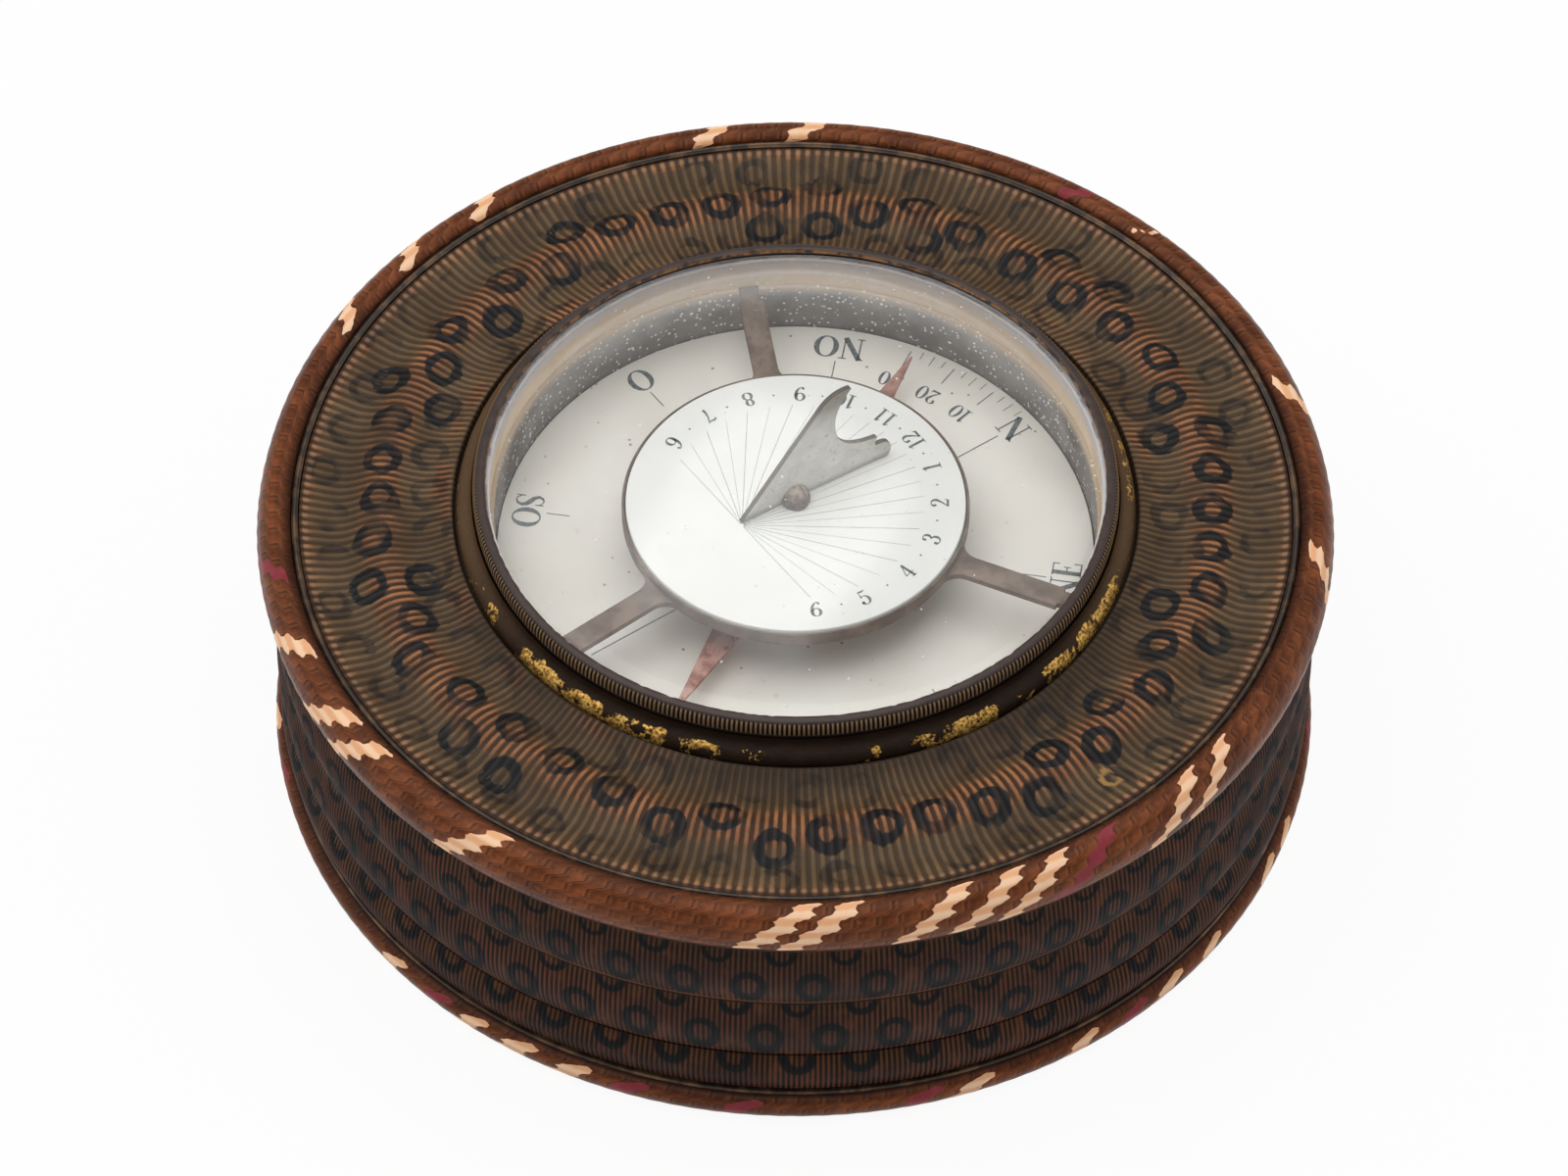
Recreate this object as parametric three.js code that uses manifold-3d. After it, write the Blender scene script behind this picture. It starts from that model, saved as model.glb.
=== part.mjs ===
// Pocket compass and sundial in a round snuff-box case, about 84 mm across.
// Millimetres, +Z up, origin at the centre of the case's underside. The front is towards -Y.
// The lid carries the whole instrument; it pulls straight up off the neck of the base.

import * as THREE from 'three';
import { mergeVertices } from 'three/addons/utils/BufferGeometryUtils.js';
import Module from 'manifold-3d';

const wasm = await Module();
wasm.setup();

// Driving dimensions: the case

const caseRadius = 42;
const bandInset = 0.9;
const grooveDepth = 0.6;
const baseBeadInset = 0.3;
const baseBeadWidth = 2.1;
const baseBeadHeight = 2.4;
const baseStringHeight = 0.35;
const baseStringStandout = 0.3;
const seamHeight = 7.15;
const seamGap = 0.15;
const lowerBandHeight = 6.5;
const upperBandHeight = 6.8;
const lidBeadWidth = 2.8;
const lidBeadHeight = 4.65;

// Driving dimensions: the box inside

const lidWall = 2.9;
const neckHeight = 7;
const slideClearance = 0.3;
const neckWall = 1.3;
const baseFloor = 1.6;
const liningWall = 0.5;
const neckHeadroom = 2.1;
const ceilingThickness = 1.6;
const ceilingLiningThickness = 0.35;

// Driving dimensions: the ridged top and its rings

const flangeThickness = 0.9;
const flangeBorder = 0.6;
const flangeWidth = 14.1;
const flangeDrop = 0.8;
const flangeRise = 1.2;
const ringLandDrop = 0.2;
const lidStringWidth = 0.4;
const lidStringGap = 0.1;
const lidStringStandout = 0.25;
const giltRingWidth = 1.2;
const giltRingHeight = 2.1;

// Driving dimensions: the well, the glass and its bezel

const wellWall = 0.9;
const backingThickness = 1.2;
const cardThickness = 0.4;
const glassSeatWidth = 0.6;
const glassSeatHeight = 2.9;
const glassRimInset = 0.3;
const glassThickness = 1;
const glassHeadroom = 1.1;
const bezelWall = 0.6;
const bezelLipOverlap = 0.2;
const bezelLipThickness = 0.5;
const bezelHeadroom = 0.4;

// Driving dimensions: the sundial and its three-armed carrier

const dialRadius = 13.25;
const dialThickness = 0.8;
const dialEdge = 0.15;
const carrierThickness = 0.6;
const carrierRimWall = 0.2;
const carrierRimHeight = 0.6;
const armWidth = 2;
const armFillet = 1.5;
const armSetback = 1.2;
const tabWidth = 1.4;
const tabSetback = 0.3;
const armDegrees = [99.5, 219.3, 336.4];

// Driving dimensions: the shadow plate and the boss that holds it

const noonDegrees = 36;
const gnomonThickness = 0.6;
const gnomonFootReach = 5.2;
const gnomonReach = 9.05;
const gnomonHeight = 9.9;
const styleDegrees = 50.7;
const bossRadius = 1.15;
const bossHeight = 1.6;
const bossCollar = 0.25;
const bossShankRadius = 0.5;
const bossHoleClearance = 0.15;
const rivetRadius = 0.8;
const rivetHeight = 0.25;
const washerRadius = 1.1;
const washerThickness = 0.3;

// Driving dimensions: the magnetic needle and its pivot

const needleDegrees = 63.5;
const needleTipGap = 2.9;
const needleWidth = 5.2;
const needleTipWidth = 0.12;
const needleThickness = 0.3;
const needleDrop = 0.7;
const pivotFootRadius = 1.6;
const pivotFootHeight = 0.5;
const pivotPinRadius = 0.28;
const pivotTipHeight = 2.3;
const pivotTipLength = 0.7;
const pivotClearance = 0.08;
const jewelRadius = 0.55;
const jewelPitRadius = 0.42;
const jewelPitDepth = 0.4;
const jewelCrown = 0.15;
const capRadius = 0.9;
const capFlangeRadius = 1.4;
const capFlangeThickness = 0.3;
const capCrown = 0.3;
const needleHeadroom = 0.52;

// Clearances and cutting allowance

const fit = 0.1;
const layGap = 0.05;
const cutOverrun = 0.5;

// Fineness of the turned pieces

const turnSteps = 44;
const smallTurnSteps = 24;
const bandSteps = 4;
const glassSteps = 6;
const armCurveSteps = 5;
const gnomonSteps = 6;

// Shapes as shares of the sizes above

const lidBeadShares = [
  [0, 0], [0.6, 0], [0.86, 0.18], [1, 0.5], [0.88, 0.8], [0.55, 0.97], [0.27, 1], [0.08, 0.92], [0, 0.84],
];
const baseBeadShares = [[0, 0], [0.5, 0], [0.86, 0.22], [1, 0.58], [0.9, 0.86], [0.6, 1], [0, 1]];
const flangeWaveShares = [
  [0, 0], [0.03, 0.5], [0.11, 0.14], [0.21, -0.04], [0.33, 0.16], [0.43, 0.51], [0.53, 0.5],
  [0.64, -0.03], [0.74, -0.32], [0.87, -0.13], [1, 0.2],
];
const giltRingShares = [[0, 0], [1, 0], [1, 0.14], [0.8, 0.44], [0.4, 0.6], [0.12, 0.78], [0, 1]];
const bezelCrownShares = [[1, 0.5], [0.92, 0.72], [0.7, 0.9], [0.35, 1], [0.06, 0.97]];
const bossDomeShares = [[1, 0.16], [0.9, 0.42], [0.62, 0.66], [0.3, 0.84], [0, 1]];
const gnomonBreakShare = 0.8;
const gnomonHookShares = [[0.33, 1.02], [0.563, 1]];
const gnomonTipShares = [[0.57, 0.965]];
const gnomonBackShares = [[0.43, 0.78], [0.4, 0.63]];
const gnomonScoopShares = [[0.39, 0.4], [0.55, 0.3], [0.82, 0.29]];
const gnomonSpurShares = [[0.865, 0.275], [0.84, 0.22]];
const gnomonNoseShares = [[0.99, 0.2], [1, 0.09]];
const gnomonHeelShares = [[1, 0], [0.95, 0]];

// Heights that follow from the stack of pieces

const baseBandBottom = baseBeadHeight + baseStringHeight;
const neckTop = seamHeight + neckHeight;
const skirtBottom = seamHeight + seamGap;
const lidGrooveHeight = skirtBottom + lowerBandHeight;
const lidBeadBottom = lidGrooveHeight + upperBandHeight;
const lidBeadTop = lidBeadBottom + lidBeadHeight;
const flangeEdgeHeight = lidBeadTop - flangeDrop;
const ringLandHeight = flangeEdgeHeight - ringLandDrop;
const ceilingUnderside = neckTop + neckHeadroom;
const wellFloor = ceilingUnderside + ceilingThickness;
const cardTop = wellFloor + backingThickness + cardThickness;
const pivotTip = cardTop + pivotTipHeight;
const pitTop = pivotTip + pivotClearance;
const jewelTop = pitTop + jewelCrown;
const capTop = jewelTop + capCrown;
const washerBottom = capTop + needleHeadroom + rivetHeight;
const carrierUnderside = washerBottom + washerThickness;
const wellTop = carrierUnderside + carrierThickness;
const dialTop = wellTop + dialThickness;
const gnomonBottom = dialTop + fit;
const glassRimHeight = wellTop + glassSeatHeight;
const glassTop = gnomonBottom + gnomonHeight + glassHeadroom + glassThickness;
const glassRise = glassTop - glassRimHeight;
const bezelLipUnderside = glassRimHeight + bezelHeadroom;
const bezelTop = bezelLipUnderside + bezelLipThickness;

// Radii that follow from one another

const bandRadius = caseRadius - bandInset;
const grooveRadius = bandRadius - grooveDepth;
const skirtRadius = grooveRadius - lidWall;
const neckRadius = skirtRadius - slideClearance;
const baseBeadRadius = caseRadius - baseBeadInset;
const beadSeatRadius = baseBeadRadius - baseBeadWidth;
const lidBeadSeatRadius = caseRadius - lidBeadWidth;
const flangeRadius = lidBeadSeatRadius - flangeBorder;
const wellRadius = flangeRadius - flangeWidth;
const wellPieceRadius = wellRadius - fit;
const wellBore = wellPieceRadius - wellWall;
const cardRadius = wellBore - fit;
const glassRimRadius = wellRadius - glassRimInset;
const glassSphereRadius = (glassRise ** 2 + glassRimRadius ** 2) / (2 * glassRise);
const bezelRadius = wellRadius + bezelWall;
const giltRingInner = bezelRadius + fit;
const giltRingOuter = giltRingInner + giltRingWidth;
const flangeBore = wellRadius + fit;
const carrierRimBore = dialRadius + fit;
const carrierRadius = carrierRimBore + carrierRimWall;
const armReach = wellBore - armSetback;
const tabReach = wellPieceRadius - tabSetback;
const needleReach = wellBore - needleTipGap;

// Finishes

function finish(color, roughness, metalness) {
  return new THREE.MeshStandardMaterial({ color, roughness, metalness });
}

const tortoiseshell = finish(0x4a2d22, 0.35, 0);
const ridgedShell = finish(0x54443a, 0.4, 0.1);
const stripedShell = finish(0x8b5436, 0.3, 0);
const paleShell = finish(0x7d5a3c, 0.5, 0);
const gilding = finish(0xb98c3c, 0.4, 0.8);
const darkBrass = finish(0x4b413b, 0.45, 0.8);
const clearGlass = finish(0xe8eef0, 0.05, 0);
const greyWall = finish(0x8a8480, 0.7, 0.2);
const creamRing = finish(0xd9c6a8, 0.6, 0);
const cardPaper = finish(0xe4e1da, 0.8, 0);
const whiteEnamel = finish(0xf8f8f5, 0.25, 0);
const greyMetal = finish(0x7a726a, 0.45, 0.8);
const silveredPlate = finish(0xaaaaa6, 0.5, 0.6);
const solderedBoss = finish(0x9a8678, 0.5, 0.6);
const rustedSteel = finish(0x96736a, 0.6, 0.6);
const polishedSteel = finish(0xb0b0b0, 0.3, 0.9);
const agate = finish(0xa4563c, 0.2, 0);

// Turned pieces: a closed outline of radius and height points, spun about the vertical axis

function signedArea(points) {
  let sum = 0;
  for (let i = 0; i < points.length; i += 1) {
    const [r0, z0] = points[i];
    const [r1, z1] = points[(i + 1) % points.length];
    sum += r0 * z1 - r1 * z0;
  }
  return sum;
}

function turned(points, steps = turnSteps) {
  const outward = signedArea(points) > 0 ? points : [...points].reverse();
  const start = outward.findIndex(([r], i) => r === 0 && outward.at(i - 1)[0] === 0);
  const onAxis = start >= 0;
  const ordered = onAxis ? [...outward.slice(start), ...outward.slice(0, start)] : [...outward, outward[0]];
  const geometry = new THREE.LatheGeometry(ordered.map(([r, z]) => new THREE.Vector2(r, z)), steps);
  return geometry.rotateX(Math.PI / 2);
}

function disc(radius, bottom, top, steps = turnSteps) {
  return turned([[0, bottom], [radius, bottom], [radius, top], [0, top]], steps);
}

function ring(inner, outer, bottom, top, steps = turnSteps) {
  return turned([[inner, bottom], [outer, bottom], [outer, top], [inner, top]], steps);
}

function scaledOutline(shares, inner, width, bottom, height) {
  return shares.map(([across, up]) => [inner + across * width, bottom + up * height]);
}

// One bulging band of the wall, from its lower groove to its upper one
function bandOutline(bottom, top) {
  const points = [];
  for (let i = 0; i <= bandSteps; i += 1) {
    const share = i / bandSteps;
    const bulge = (bandRadius - grooveRadius) * Math.sin(Math.PI * share);
    points.push([grooveRadius + bulge, bottom + share * (top - bottom)]);
  }
  return points;
}

// Cutting and joining

function solidOf(geometry) {
  const bare = geometry.clone();
  bare.deleteAttribute('normal');
  bare.deleteAttribute('uv');
  const merged = mergeVertices(bare);
  const corners = Array.from(merged.index.array);
  const kept = [];
  for (let i = 0; i < corners.length; i += 3) {
    const [a, b, c] = corners.slice(i, i + 3);
    if (a !== b && b !== c && c !== a) {
      kept.push(a, b, c);
    }
  }
  const mesh = new wasm.Mesh({
    numProp: 3,
    vertProperties: new Float32Array(merged.attributes.position.array),
    triVerts: new Uint32Array(kept),
  });
  return new wasm.Manifold(mesh);
}

function geometryOf(solid) {
  const mesh = solid.getMesh();
  const geometry = new THREE.BufferGeometry();
  geometry.setAttribute('position', new THREE.BufferAttribute(mesh.vertProperties, mesh.numProp));
  geometry.setIndex(new THREE.BufferAttribute(mesh.triVerts, 1));
  geometry.computeVertexNormals();
  return geometry;
}

function cutFrom(body, ...cutters) {
  return geometryOf(cutters.reduce((left, cutter) => left.subtract(solidOf(cutter)), solidOf(body)));
}

function extruded(shape, thickness, curveSegments = armCurveSteps) {
  return new THREE.ExtrudeGeometry(shape, { depth: thickness, bevelEnabled: false, curveSegments });
}

// The object and its groups

const object = new THREE.Group();

function place(name, geometry, material, parent = object) {
  const mesh = new THREE.Mesh(geometry, material);
  mesh.name = name;
  parent.add(mesh);
  return mesh;
}

// Base: a turned shell with a neck, a striped bead and a gold string round its foot, and a lining

place('base_shell', turned([
  [0, 0],
  [beadSeatRadius, 0],
  [beadSeatRadius, baseBandBottom + fit],
  ...bandOutline(baseBandBottom + fit, seamHeight),
  [neckRadius, seamHeight],
  [neckRadius, neckTop],
  [neckRadius - neckWall, neckTop],
  [neckRadius - neckWall, baseFloor],
  [0, baseFloor],
]), tortoiseshell);

const baseBeadInner = beadSeatRadius + fit;
place('base_bead', turned(
  scaledOutline(baseBeadShares, baseBeadInner, baseBeadRadius - baseBeadInner, 0, baseBeadHeight),
), stripedShell);

place('base_string', ring(
  baseBeadInner,
  grooveRadius + baseStringStandout,
  baseBeadHeight,
  baseBandBottom,
), gilding);

const liningRadius = neckRadius - neckWall - fit;
place('compartment_lining', turned([
  [0, baseFloor],
  [liningRadius, baseFloor],
  [liningRadius, neckTop],
  [liningRadius - liningWall, neckTop],
  [liningRadius - liningWall, baseFloor + liningWall],
  [0, baseFloor + liningWall],
]), paleShell);

// Lid: a turned shell with two bands, hollow below for the neck and bored above for the well

function flangeTop() {
  const start = giltRingOuter + fit;
  return flangeWaveShares.map(([across, up]) => [
    start + across * (flangeRadius - start),
    ringLandHeight + up * flangeRise,
  ]);
}

const shellTop = flangeTop().map(([r, z]) => [r, z - flangeThickness - layGap]);
const shellTopEdge = shellTop.at(-1)[1];

place('lid_shell', turned([
  [0, ceilingUnderside],
  [skirtRadius, ceilingUnderside],
  [skirtRadius, skirtBottom],
  ...bandOutline(skirtBottom, lidGrooveHeight),
  ...bandOutline(lidGrooveHeight, lidBeadBottom).slice(1),
  [lidBeadSeatRadius, lidBeadBottom],
  [lidBeadSeatRadius, shellTopEdge],
  ...shellTop.toReversed(),
  [wellRadius, ringLandHeight - flangeThickness - layGap],
  [wellRadius, wellFloor],
  [0, wellFloor],
]), tortoiseshell);

place('ceiling_lining', disc(
  skirtRadius - fit,
  ceilingUnderside - ceilingLiningThickness,
  ceilingUnderside,
), paleShell);

const lidBeadInner = lidBeadSeatRadius + fit;
place('lid_bead', turned(
  scaledOutline(lidBeadShares, lidBeadInner, caseRadius - lidBeadInner, lidBeadBottom, lidBeadHeight),
), stripedShell);

const lidStringInner = flangeRadius + lidStringGap;
place('lid_string', ring(
  lidStringInner,
  Math.min(lidStringInner + lidStringWidth, lidBeadSeatRadius),
  shellTopEdge,
  flangeEdgeHeight + lidStringStandout,
), gilding);

// The ridged flange is a pressed skin: its underside is its top, let down by its thickness
place('ridged_flange', turned([
  [flangeBore, ringLandHeight - flangeThickness],
  ...flangeTop().map(([r, z]) => [r, z - flangeThickness]),
  ...flangeTop().toReversed(),
  [flangeBore, ringLandHeight],
]), ridgedShell);

place('gilt_ring', turned(
  scaledOutline(giltRingShares, giltRingInner, giltRingWidth, ringLandHeight, giltRingHeight),
), gilding);

// Well: a grey wall notched for the carrier's tabs, a backing disc and the compass card

const armTurns = armDegrees.map((degrees) => THREE.MathUtils.degToRad(degrees));

function tabNotch(turn) {
  const width = tabWidth + 2 * fit;
  const length = wellPieceRadius - wellBore + 2 * cutOverrun;
  const height = carrierThickness + fit + cutOverrun;
  const notch = new THREE.BoxGeometry(length, width, height);
  const bottom = carrierUnderside - fit;
  notch.translate((wellPieceRadius + wellBore) / 2, 0, bottom + height / 2);
  return notch.rotateZ(turn);
}

const notches = armTurns.map((turn) => tabNotch(turn));
place('well_wall', cutFrom(ring(wellBore, wellPieceRadius, wellFloor, wellTop), ...notches), greyWall);

place('card_backing', disc(cardRadius, wellFloor, wellFloor + backingThickness), cardPaper);
place('compass_card', disc(cardRadius, wellFloor + backingThickness, cardTop), cardPaper);

// Glass: a cream ring carries a spherical dome, and a milled bezel holds it down

place('glass_seat_ring', ring(
  wellPieceRadius - glassSeatWidth,
  wellPieceRadius,
  wellTop,
  glassRimHeight,
), creamRing);

function domeOutline() {
  const centre = glassRimHeight - Math.sqrt(glassSphereRadius ** 2 - glassRimRadius ** 2);
  const innerRadius = glassSphereRadius - glassThickness;
  const outerAngle = Math.asin(glassRimRadius / glassSphereRadius);
  const innerAngle = Math.acos((glassRimHeight - centre) / innerRadius);
  const points = [];
  for (let i = 0; i <= glassSteps; i += 1) {
    const angle = innerAngle * (i / glassSteps);
    points.push([i === 0 ? 0 : innerRadius * Math.sin(angle), centre + innerRadius * Math.cos(angle)]);
  }
  for (let i = glassSteps; i >= 0; i -= 1) {
    const angle = outerAngle * (i / glassSteps);
    const radius = i === 0 ? 0 : glassSphereRadius * Math.sin(angle);
    points.push([radius, centre + glassSphereRadius * Math.cos(angle)]);
  }
  return points;
}

place('glass_dome', turned(domeOutline()), clearGlass);

const bezelLipRadius = glassRimRadius - bezelLipOverlap;
const bezelHeight = bezelTop - ringLandHeight;
place('milled_bezel', turned([
  [wellRadius, ringLandHeight],
  [bezelRadius, ringLandHeight],
  ...scaledOutline(
    bezelCrownShares,
    bezelLipRadius,
    bezelRadius - bezelLipRadius,
    ringLandHeight,
    bezelHeight,
  ),
  [bezelLipRadius, bezelLipUnderside],
  [wellRadius, bezelLipUnderside],
]), darkBrass);

// Carrier: a shallow cup on three filleted arms, each ending in a narrower tab in the wall's notch

function carrierOutline() {
  const outline = new THREE.Shape();
  const halfWidth = armWidth / 2;
  const halfTab = tabWidth / 2;
  const filletOut = carrierRadius + armFillet;
  const filletSide = halfWidth + armFillet;
  const filletAngle = Math.asin(filletSide / filletOut);
  const filletReach = Math.sqrt(filletOut ** 2 - filletSide ** 2);
  for (let index = 0; index < armTurns.length; index += 1) {
    const turn = armTurns[index];
    const nextTurn = armTurns[index + 1] ?? armTurns[0] + 2 * Math.PI;
    const along = (reach, side) => [
      reach * Math.cos(turn) - side * Math.sin(turn),
      reach * Math.sin(turn) + side * Math.cos(turn),
    ];
    const [rightX, rightY] = along(filletReach, -filletSide);
    const [leftX, leftY] = along(filletReach, filletSide);
    outline.absarc(rightX, rightY, armFillet, turn - filletAngle + Math.PI, turn + Math.PI / 2, true);
    outline.lineTo(...along(armReach, -halfWidth));
    outline.lineTo(...along(armReach, -halfTab));
    outline.lineTo(...along(tabReach, -halfTab));
    outline.lineTo(...along(tabReach, halfTab));
    outline.lineTo(...along(armReach, halfTab));
    outline.lineTo(...along(armReach, halfWidth));
    outline.absarc(leftX, leftY, armFillet, turn - Math.PI / 2, turn + filletAngle - Math.PI, true);
    outline.absarc(0, 0, carrierRadius, turn + filletAngle, nextTurn - filletAngle, false);
  }
  return outline;
}

const bossHole = bossShankRadius + bossHoleClearance;

function carrier() {
  const plate = extruded(carrierOutline(), carrierThickness).translate(0, 0, carrierUnderside);
  const rim = ring(carrierRimBore, carrierRadius, carrierUnderside, wellTop + carrierRimHeight);
  const bore = disc(bossHole, carrierUnderside - cutOverrun, wellTop + cutOverrun, smallTurnSteps);
  return geometryOf(solidOf(plate).add(solidOf(rim)).subtract(solidOf(bore)));
}

place('dial_carrier', carrier(), greyMetal);

place('sundial_plate', turned([
  [bossHole, wellTop],
  [dialRadius, wellTop],
  [dialRadius, dialTop - dialEdge],
  [dialRadius - dialEdge, dialTop],
  [bossHole, dialTop],
]), whiteEnamel);

// Boss: a peaked dome slotted for the shadow plate, its shank riveted over a washer below

const noonLine = new THREE.Group();
noonLine.rotation.z = THREE.MathUtils.degToRad(noonDegrees);
object.add(noonLine);

function boss() {
  const body = turned([
    [0, washerBottom - rivetHeight],
    [rivetRadius, washerBottom - rivetHeight],
    [rivetRadius, washerBottom],
    [bossShankRadius, washerBottom],
    [bossShankRadius, dialTop],
    [bossRadius, dialTop],
    ...scaledOutline(bossDomeShares, 0, bossRadius, dialTop, bossHeight),
  ], smallTurnSteps);
  const slot = new THREE.BoxGeometry(
    2 * (bossRadius + cutOverrun),
    gnomonThickness + 2 * fit,
    bossHeight + cutOverrun,
  );
  slot.translate(0, 0, dialTop + bossCollar + (bossHeight + cutOverrun) / 2);
  return cutFrom(body, slot);
}

place('gnomon_boss', boss(), solderedBoss, noonLine);
place('boss_washer', ring(
  bossHole,
  washerRadius,
  washerBottom,
  carrierUnderside,
  smallTurnSteps,
), greyMetal, noonLine);

// Shadow plate: a straight style that hooks over at its tip, a scooped back, a spur and a round nose

function gnomonOutline() {
  const outline = new THREE.Shape();
  const foot = -gnomonFootReach;
  const breakUp = gnomonBreakShare * gnomonHeight;
  const breakOut = foot + breakUp / Math.tan(THREE.MathUtils.degToRad(styleDegrees));
  const slotHalf = bossRadius + 2 * fit;
  const slotTop = bossCollar + fit;
  const spread = (shares) => shares.flatMap(([out, up]) => [out * gnomonReach, up * gnomonHeight]);
  outline.moveTo(foot, 0);
  outline.lineTo(breakOut, breakUp);
  outline.quadraticCurveTo(...spread(gnomonHookShares));
  outline.lineTo(...spread(gnomonTipShares));
  outline.quadraticCurveTo(...spread(gnomonBackShares));
  outline.bezierCurveTo(...spread(gnomonScoopShares));
  for (const corner of gnomonSpurShares) {
    outline.lineTo(...spread([corner]));
  }
  outline.quadraticCurveTo(...spread(gnomonNoseShares));
  outline.quadraticCurveTo(...spread(gnomonHeelShares));
  outline.lineTo(slotHalf, 0);
  outline.lineTo(slotHalf, slotTop);
  outline.lineTo(-slotHalf, slotTop);
  outline.lineTo(-slotHalf, 0);
  outline.closePath();
  return outline;
}

const gnomon = extruded(gnomonOutline(), gnomonThickness, gnomonSteps);
gnomon.translate(0, 0, -gnomonThickness / 2);
gnomon.rotateX(Math.PI / 2);
gnomon.translate(0, 0, gnomonBottom);
place('gnomon', gnomon, silveredPlate, noonLine);

// Pivot: a turned foot on the card and the steel point that rises from it

const pivotHole = pivotPinRadius + layGap;
place('pivot_foot', ring(
  pivotHole,
  pivotFootRadius,
  cardTop,
  cardTop + pivotFootHeight,
  smallTurnSteps,
), darkBrass);
place('pivot_pin', turned([
  [0, cardTop],
  [pivotPinRadius, cardTop],
  [pivotPinRadius, pivotTip - pivotTipLength],
  [0, pivotTip],
], smallTurnSteps), polishedSteel);

// Needle: a lozenge blade on a brass cap whose jewel rides on the point

const needleBearing = new THREE.Group();
needleBearing.rotation.z = THREE.MathUtils.degToRad(needleDegrees);
object.add(needleBearing);

const jewelBottom = pitTop - jewelPitDepth;
const bladeBottom = pivotTip - needleDrop;
const capBottom = bladeBottom - capFlangeThickness;
const jewelBore = jewelRadius + layGap;

function needleOutline() {
  const outline = new THREE.Shape();
  const tip = needleTipWidth / 2;
  const middle = needleWidth / 2;
  outline.moveTo(needleReach, -tip);
  outline.lineTo(needleReach, tip);
  outline.lineTo(0, middle);
  outline.lineTo(-needleReach, tip);
  outline.lineTo(-needleReach, -tip);
  outline.lineTo(0, -middle);
  outline.closePath();
  const hub = new THREE.Path();
  hub.absarc(0, 0, capRadius + fit, 0, 2 * Math.PI, true);
  outline.holes.push(hub);
  return outline;
}

const blade = extruded(needleOutline(), needleThickness, smallTurnSteps).translate(0, 0, bladeBottom);
place('needle_blade', blade, rustedSteel, needleBearing);

place('needle_cap', turned([
  [jewelBore, capBottom],
  [capFlangeRadius, capBottom],
  [capFlangeRadius, bladeBottom],
  [capRadius, bladeBottom],
  [capRadius, jewelTop],
  [capRadius / 2, capTop],
  [0, capTop],
  [0, jewelTop],
  [jewelBore, jewelTop],
], smallTurnSteps), darkBrass, needleBearing);

place('needle_jewel', turned([
  [jewelPitRadius, jewelBottom],
  [jewelRadius, jewelBottom],
  [jewelRadius, jewelTop],
  [0, jewelTop],
  [0, pitTop],
], smallTurnSteps), agate, needleBearing);

export default object;
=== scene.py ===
"""Looks of the pocket compass and sundial in its round, machine-turned box.

Outlines are written in millimetres and turned into metres when a piece is finished. The axis of the
box is the Z axis, the underside lies at height zero and the front is towards -Y. A direction on the
box is an azimuth in degrees, from +X towards +Y. Colours are written as a screen shows them.
"""

import math

import bmesh
import bpy
from mathutils import Matrix, Vector, noise


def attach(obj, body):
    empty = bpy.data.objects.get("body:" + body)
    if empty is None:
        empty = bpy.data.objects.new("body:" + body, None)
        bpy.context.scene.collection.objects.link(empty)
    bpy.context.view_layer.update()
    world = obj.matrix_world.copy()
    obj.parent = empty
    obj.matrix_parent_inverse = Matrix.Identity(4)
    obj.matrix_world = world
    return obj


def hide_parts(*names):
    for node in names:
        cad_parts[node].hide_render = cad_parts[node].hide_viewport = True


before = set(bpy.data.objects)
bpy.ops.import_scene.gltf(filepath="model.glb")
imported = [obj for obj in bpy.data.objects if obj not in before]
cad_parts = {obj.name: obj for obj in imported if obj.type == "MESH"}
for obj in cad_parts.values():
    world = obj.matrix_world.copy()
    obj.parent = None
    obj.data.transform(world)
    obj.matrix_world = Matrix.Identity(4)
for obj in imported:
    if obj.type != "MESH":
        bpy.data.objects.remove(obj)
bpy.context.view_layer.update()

MM = 0.001
TURN = 2 * math.pi

# Sizes shared by several pieces, in millimetres

BAND_RADIUS = 41.1
GROOVE_RADIUS = 40.5
NECK_RADIUS = 37.3
SKIRT_RADIUS = 37.6
BOX_FLOOR = 1.6
SEAM = 7.15
LID_BOTTOM = 7.3
LID_GROOVE = 13.8
LID_BEAD_BOTTOM = 20.6
CEILING = 16.25
WELL_FLOOR = 17.85
WELL_LEDGE = 23.25
WELL_TOP = 23.95
CARD_TOP = 19.45
DIAL_TOP = 24.75
GLASS_RIM = 26.85
GLASS_TOP = 36.85
GLASS_RADIUS = 24.2
GLASS_THICKNESS = 1.0
PRINT_LIFT = 0.012

# Azimuths in degrees, how many ridges, lobes and reeds go round, and how deep they are

ARM_DEGREES = (99.5, 219.3, 336.4)
NOON = 36.0
NEEDLE = 63.5
FLANGE_RIDGES = 300
WALL_LOBES = 53
WALL_RIDGES = 12 * WALL_LOBES
BEZEL_REEDS = 432
WALL_RIDGE_DEPTH = 0.045
FLANGE_RIDGE_DEPTH = 0.08
FLANGE_SWELL = 0.05

# Thin lines of a letter, as a part of its height

HAIRLINE = 0.045

# How often a spun sector is doubled at most

MOST_DOUBLINGS = 5

# The beads' pattern: length and slope of the steps in a stripe's edge, and the scales along it

STEP_RUN = 1.12
STEP_SLOPE = 1.22
SCALE_PITCH = 1.7

# Light

WORLD_LEVEL = 0.38
LAMPS = (
    ("lamp above", (-0.1, 0.06, 0.85), (1.1, 0.9), 5.4),
    ("lamp left", (-0.8, 0.1, 0.45), (0.9, 0.9), 1.9),
    ("lamp right", (0.8, 0.1, 0.45), (0.9, 0.9), 1.5),
)


# Colour and shader helpers


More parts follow.
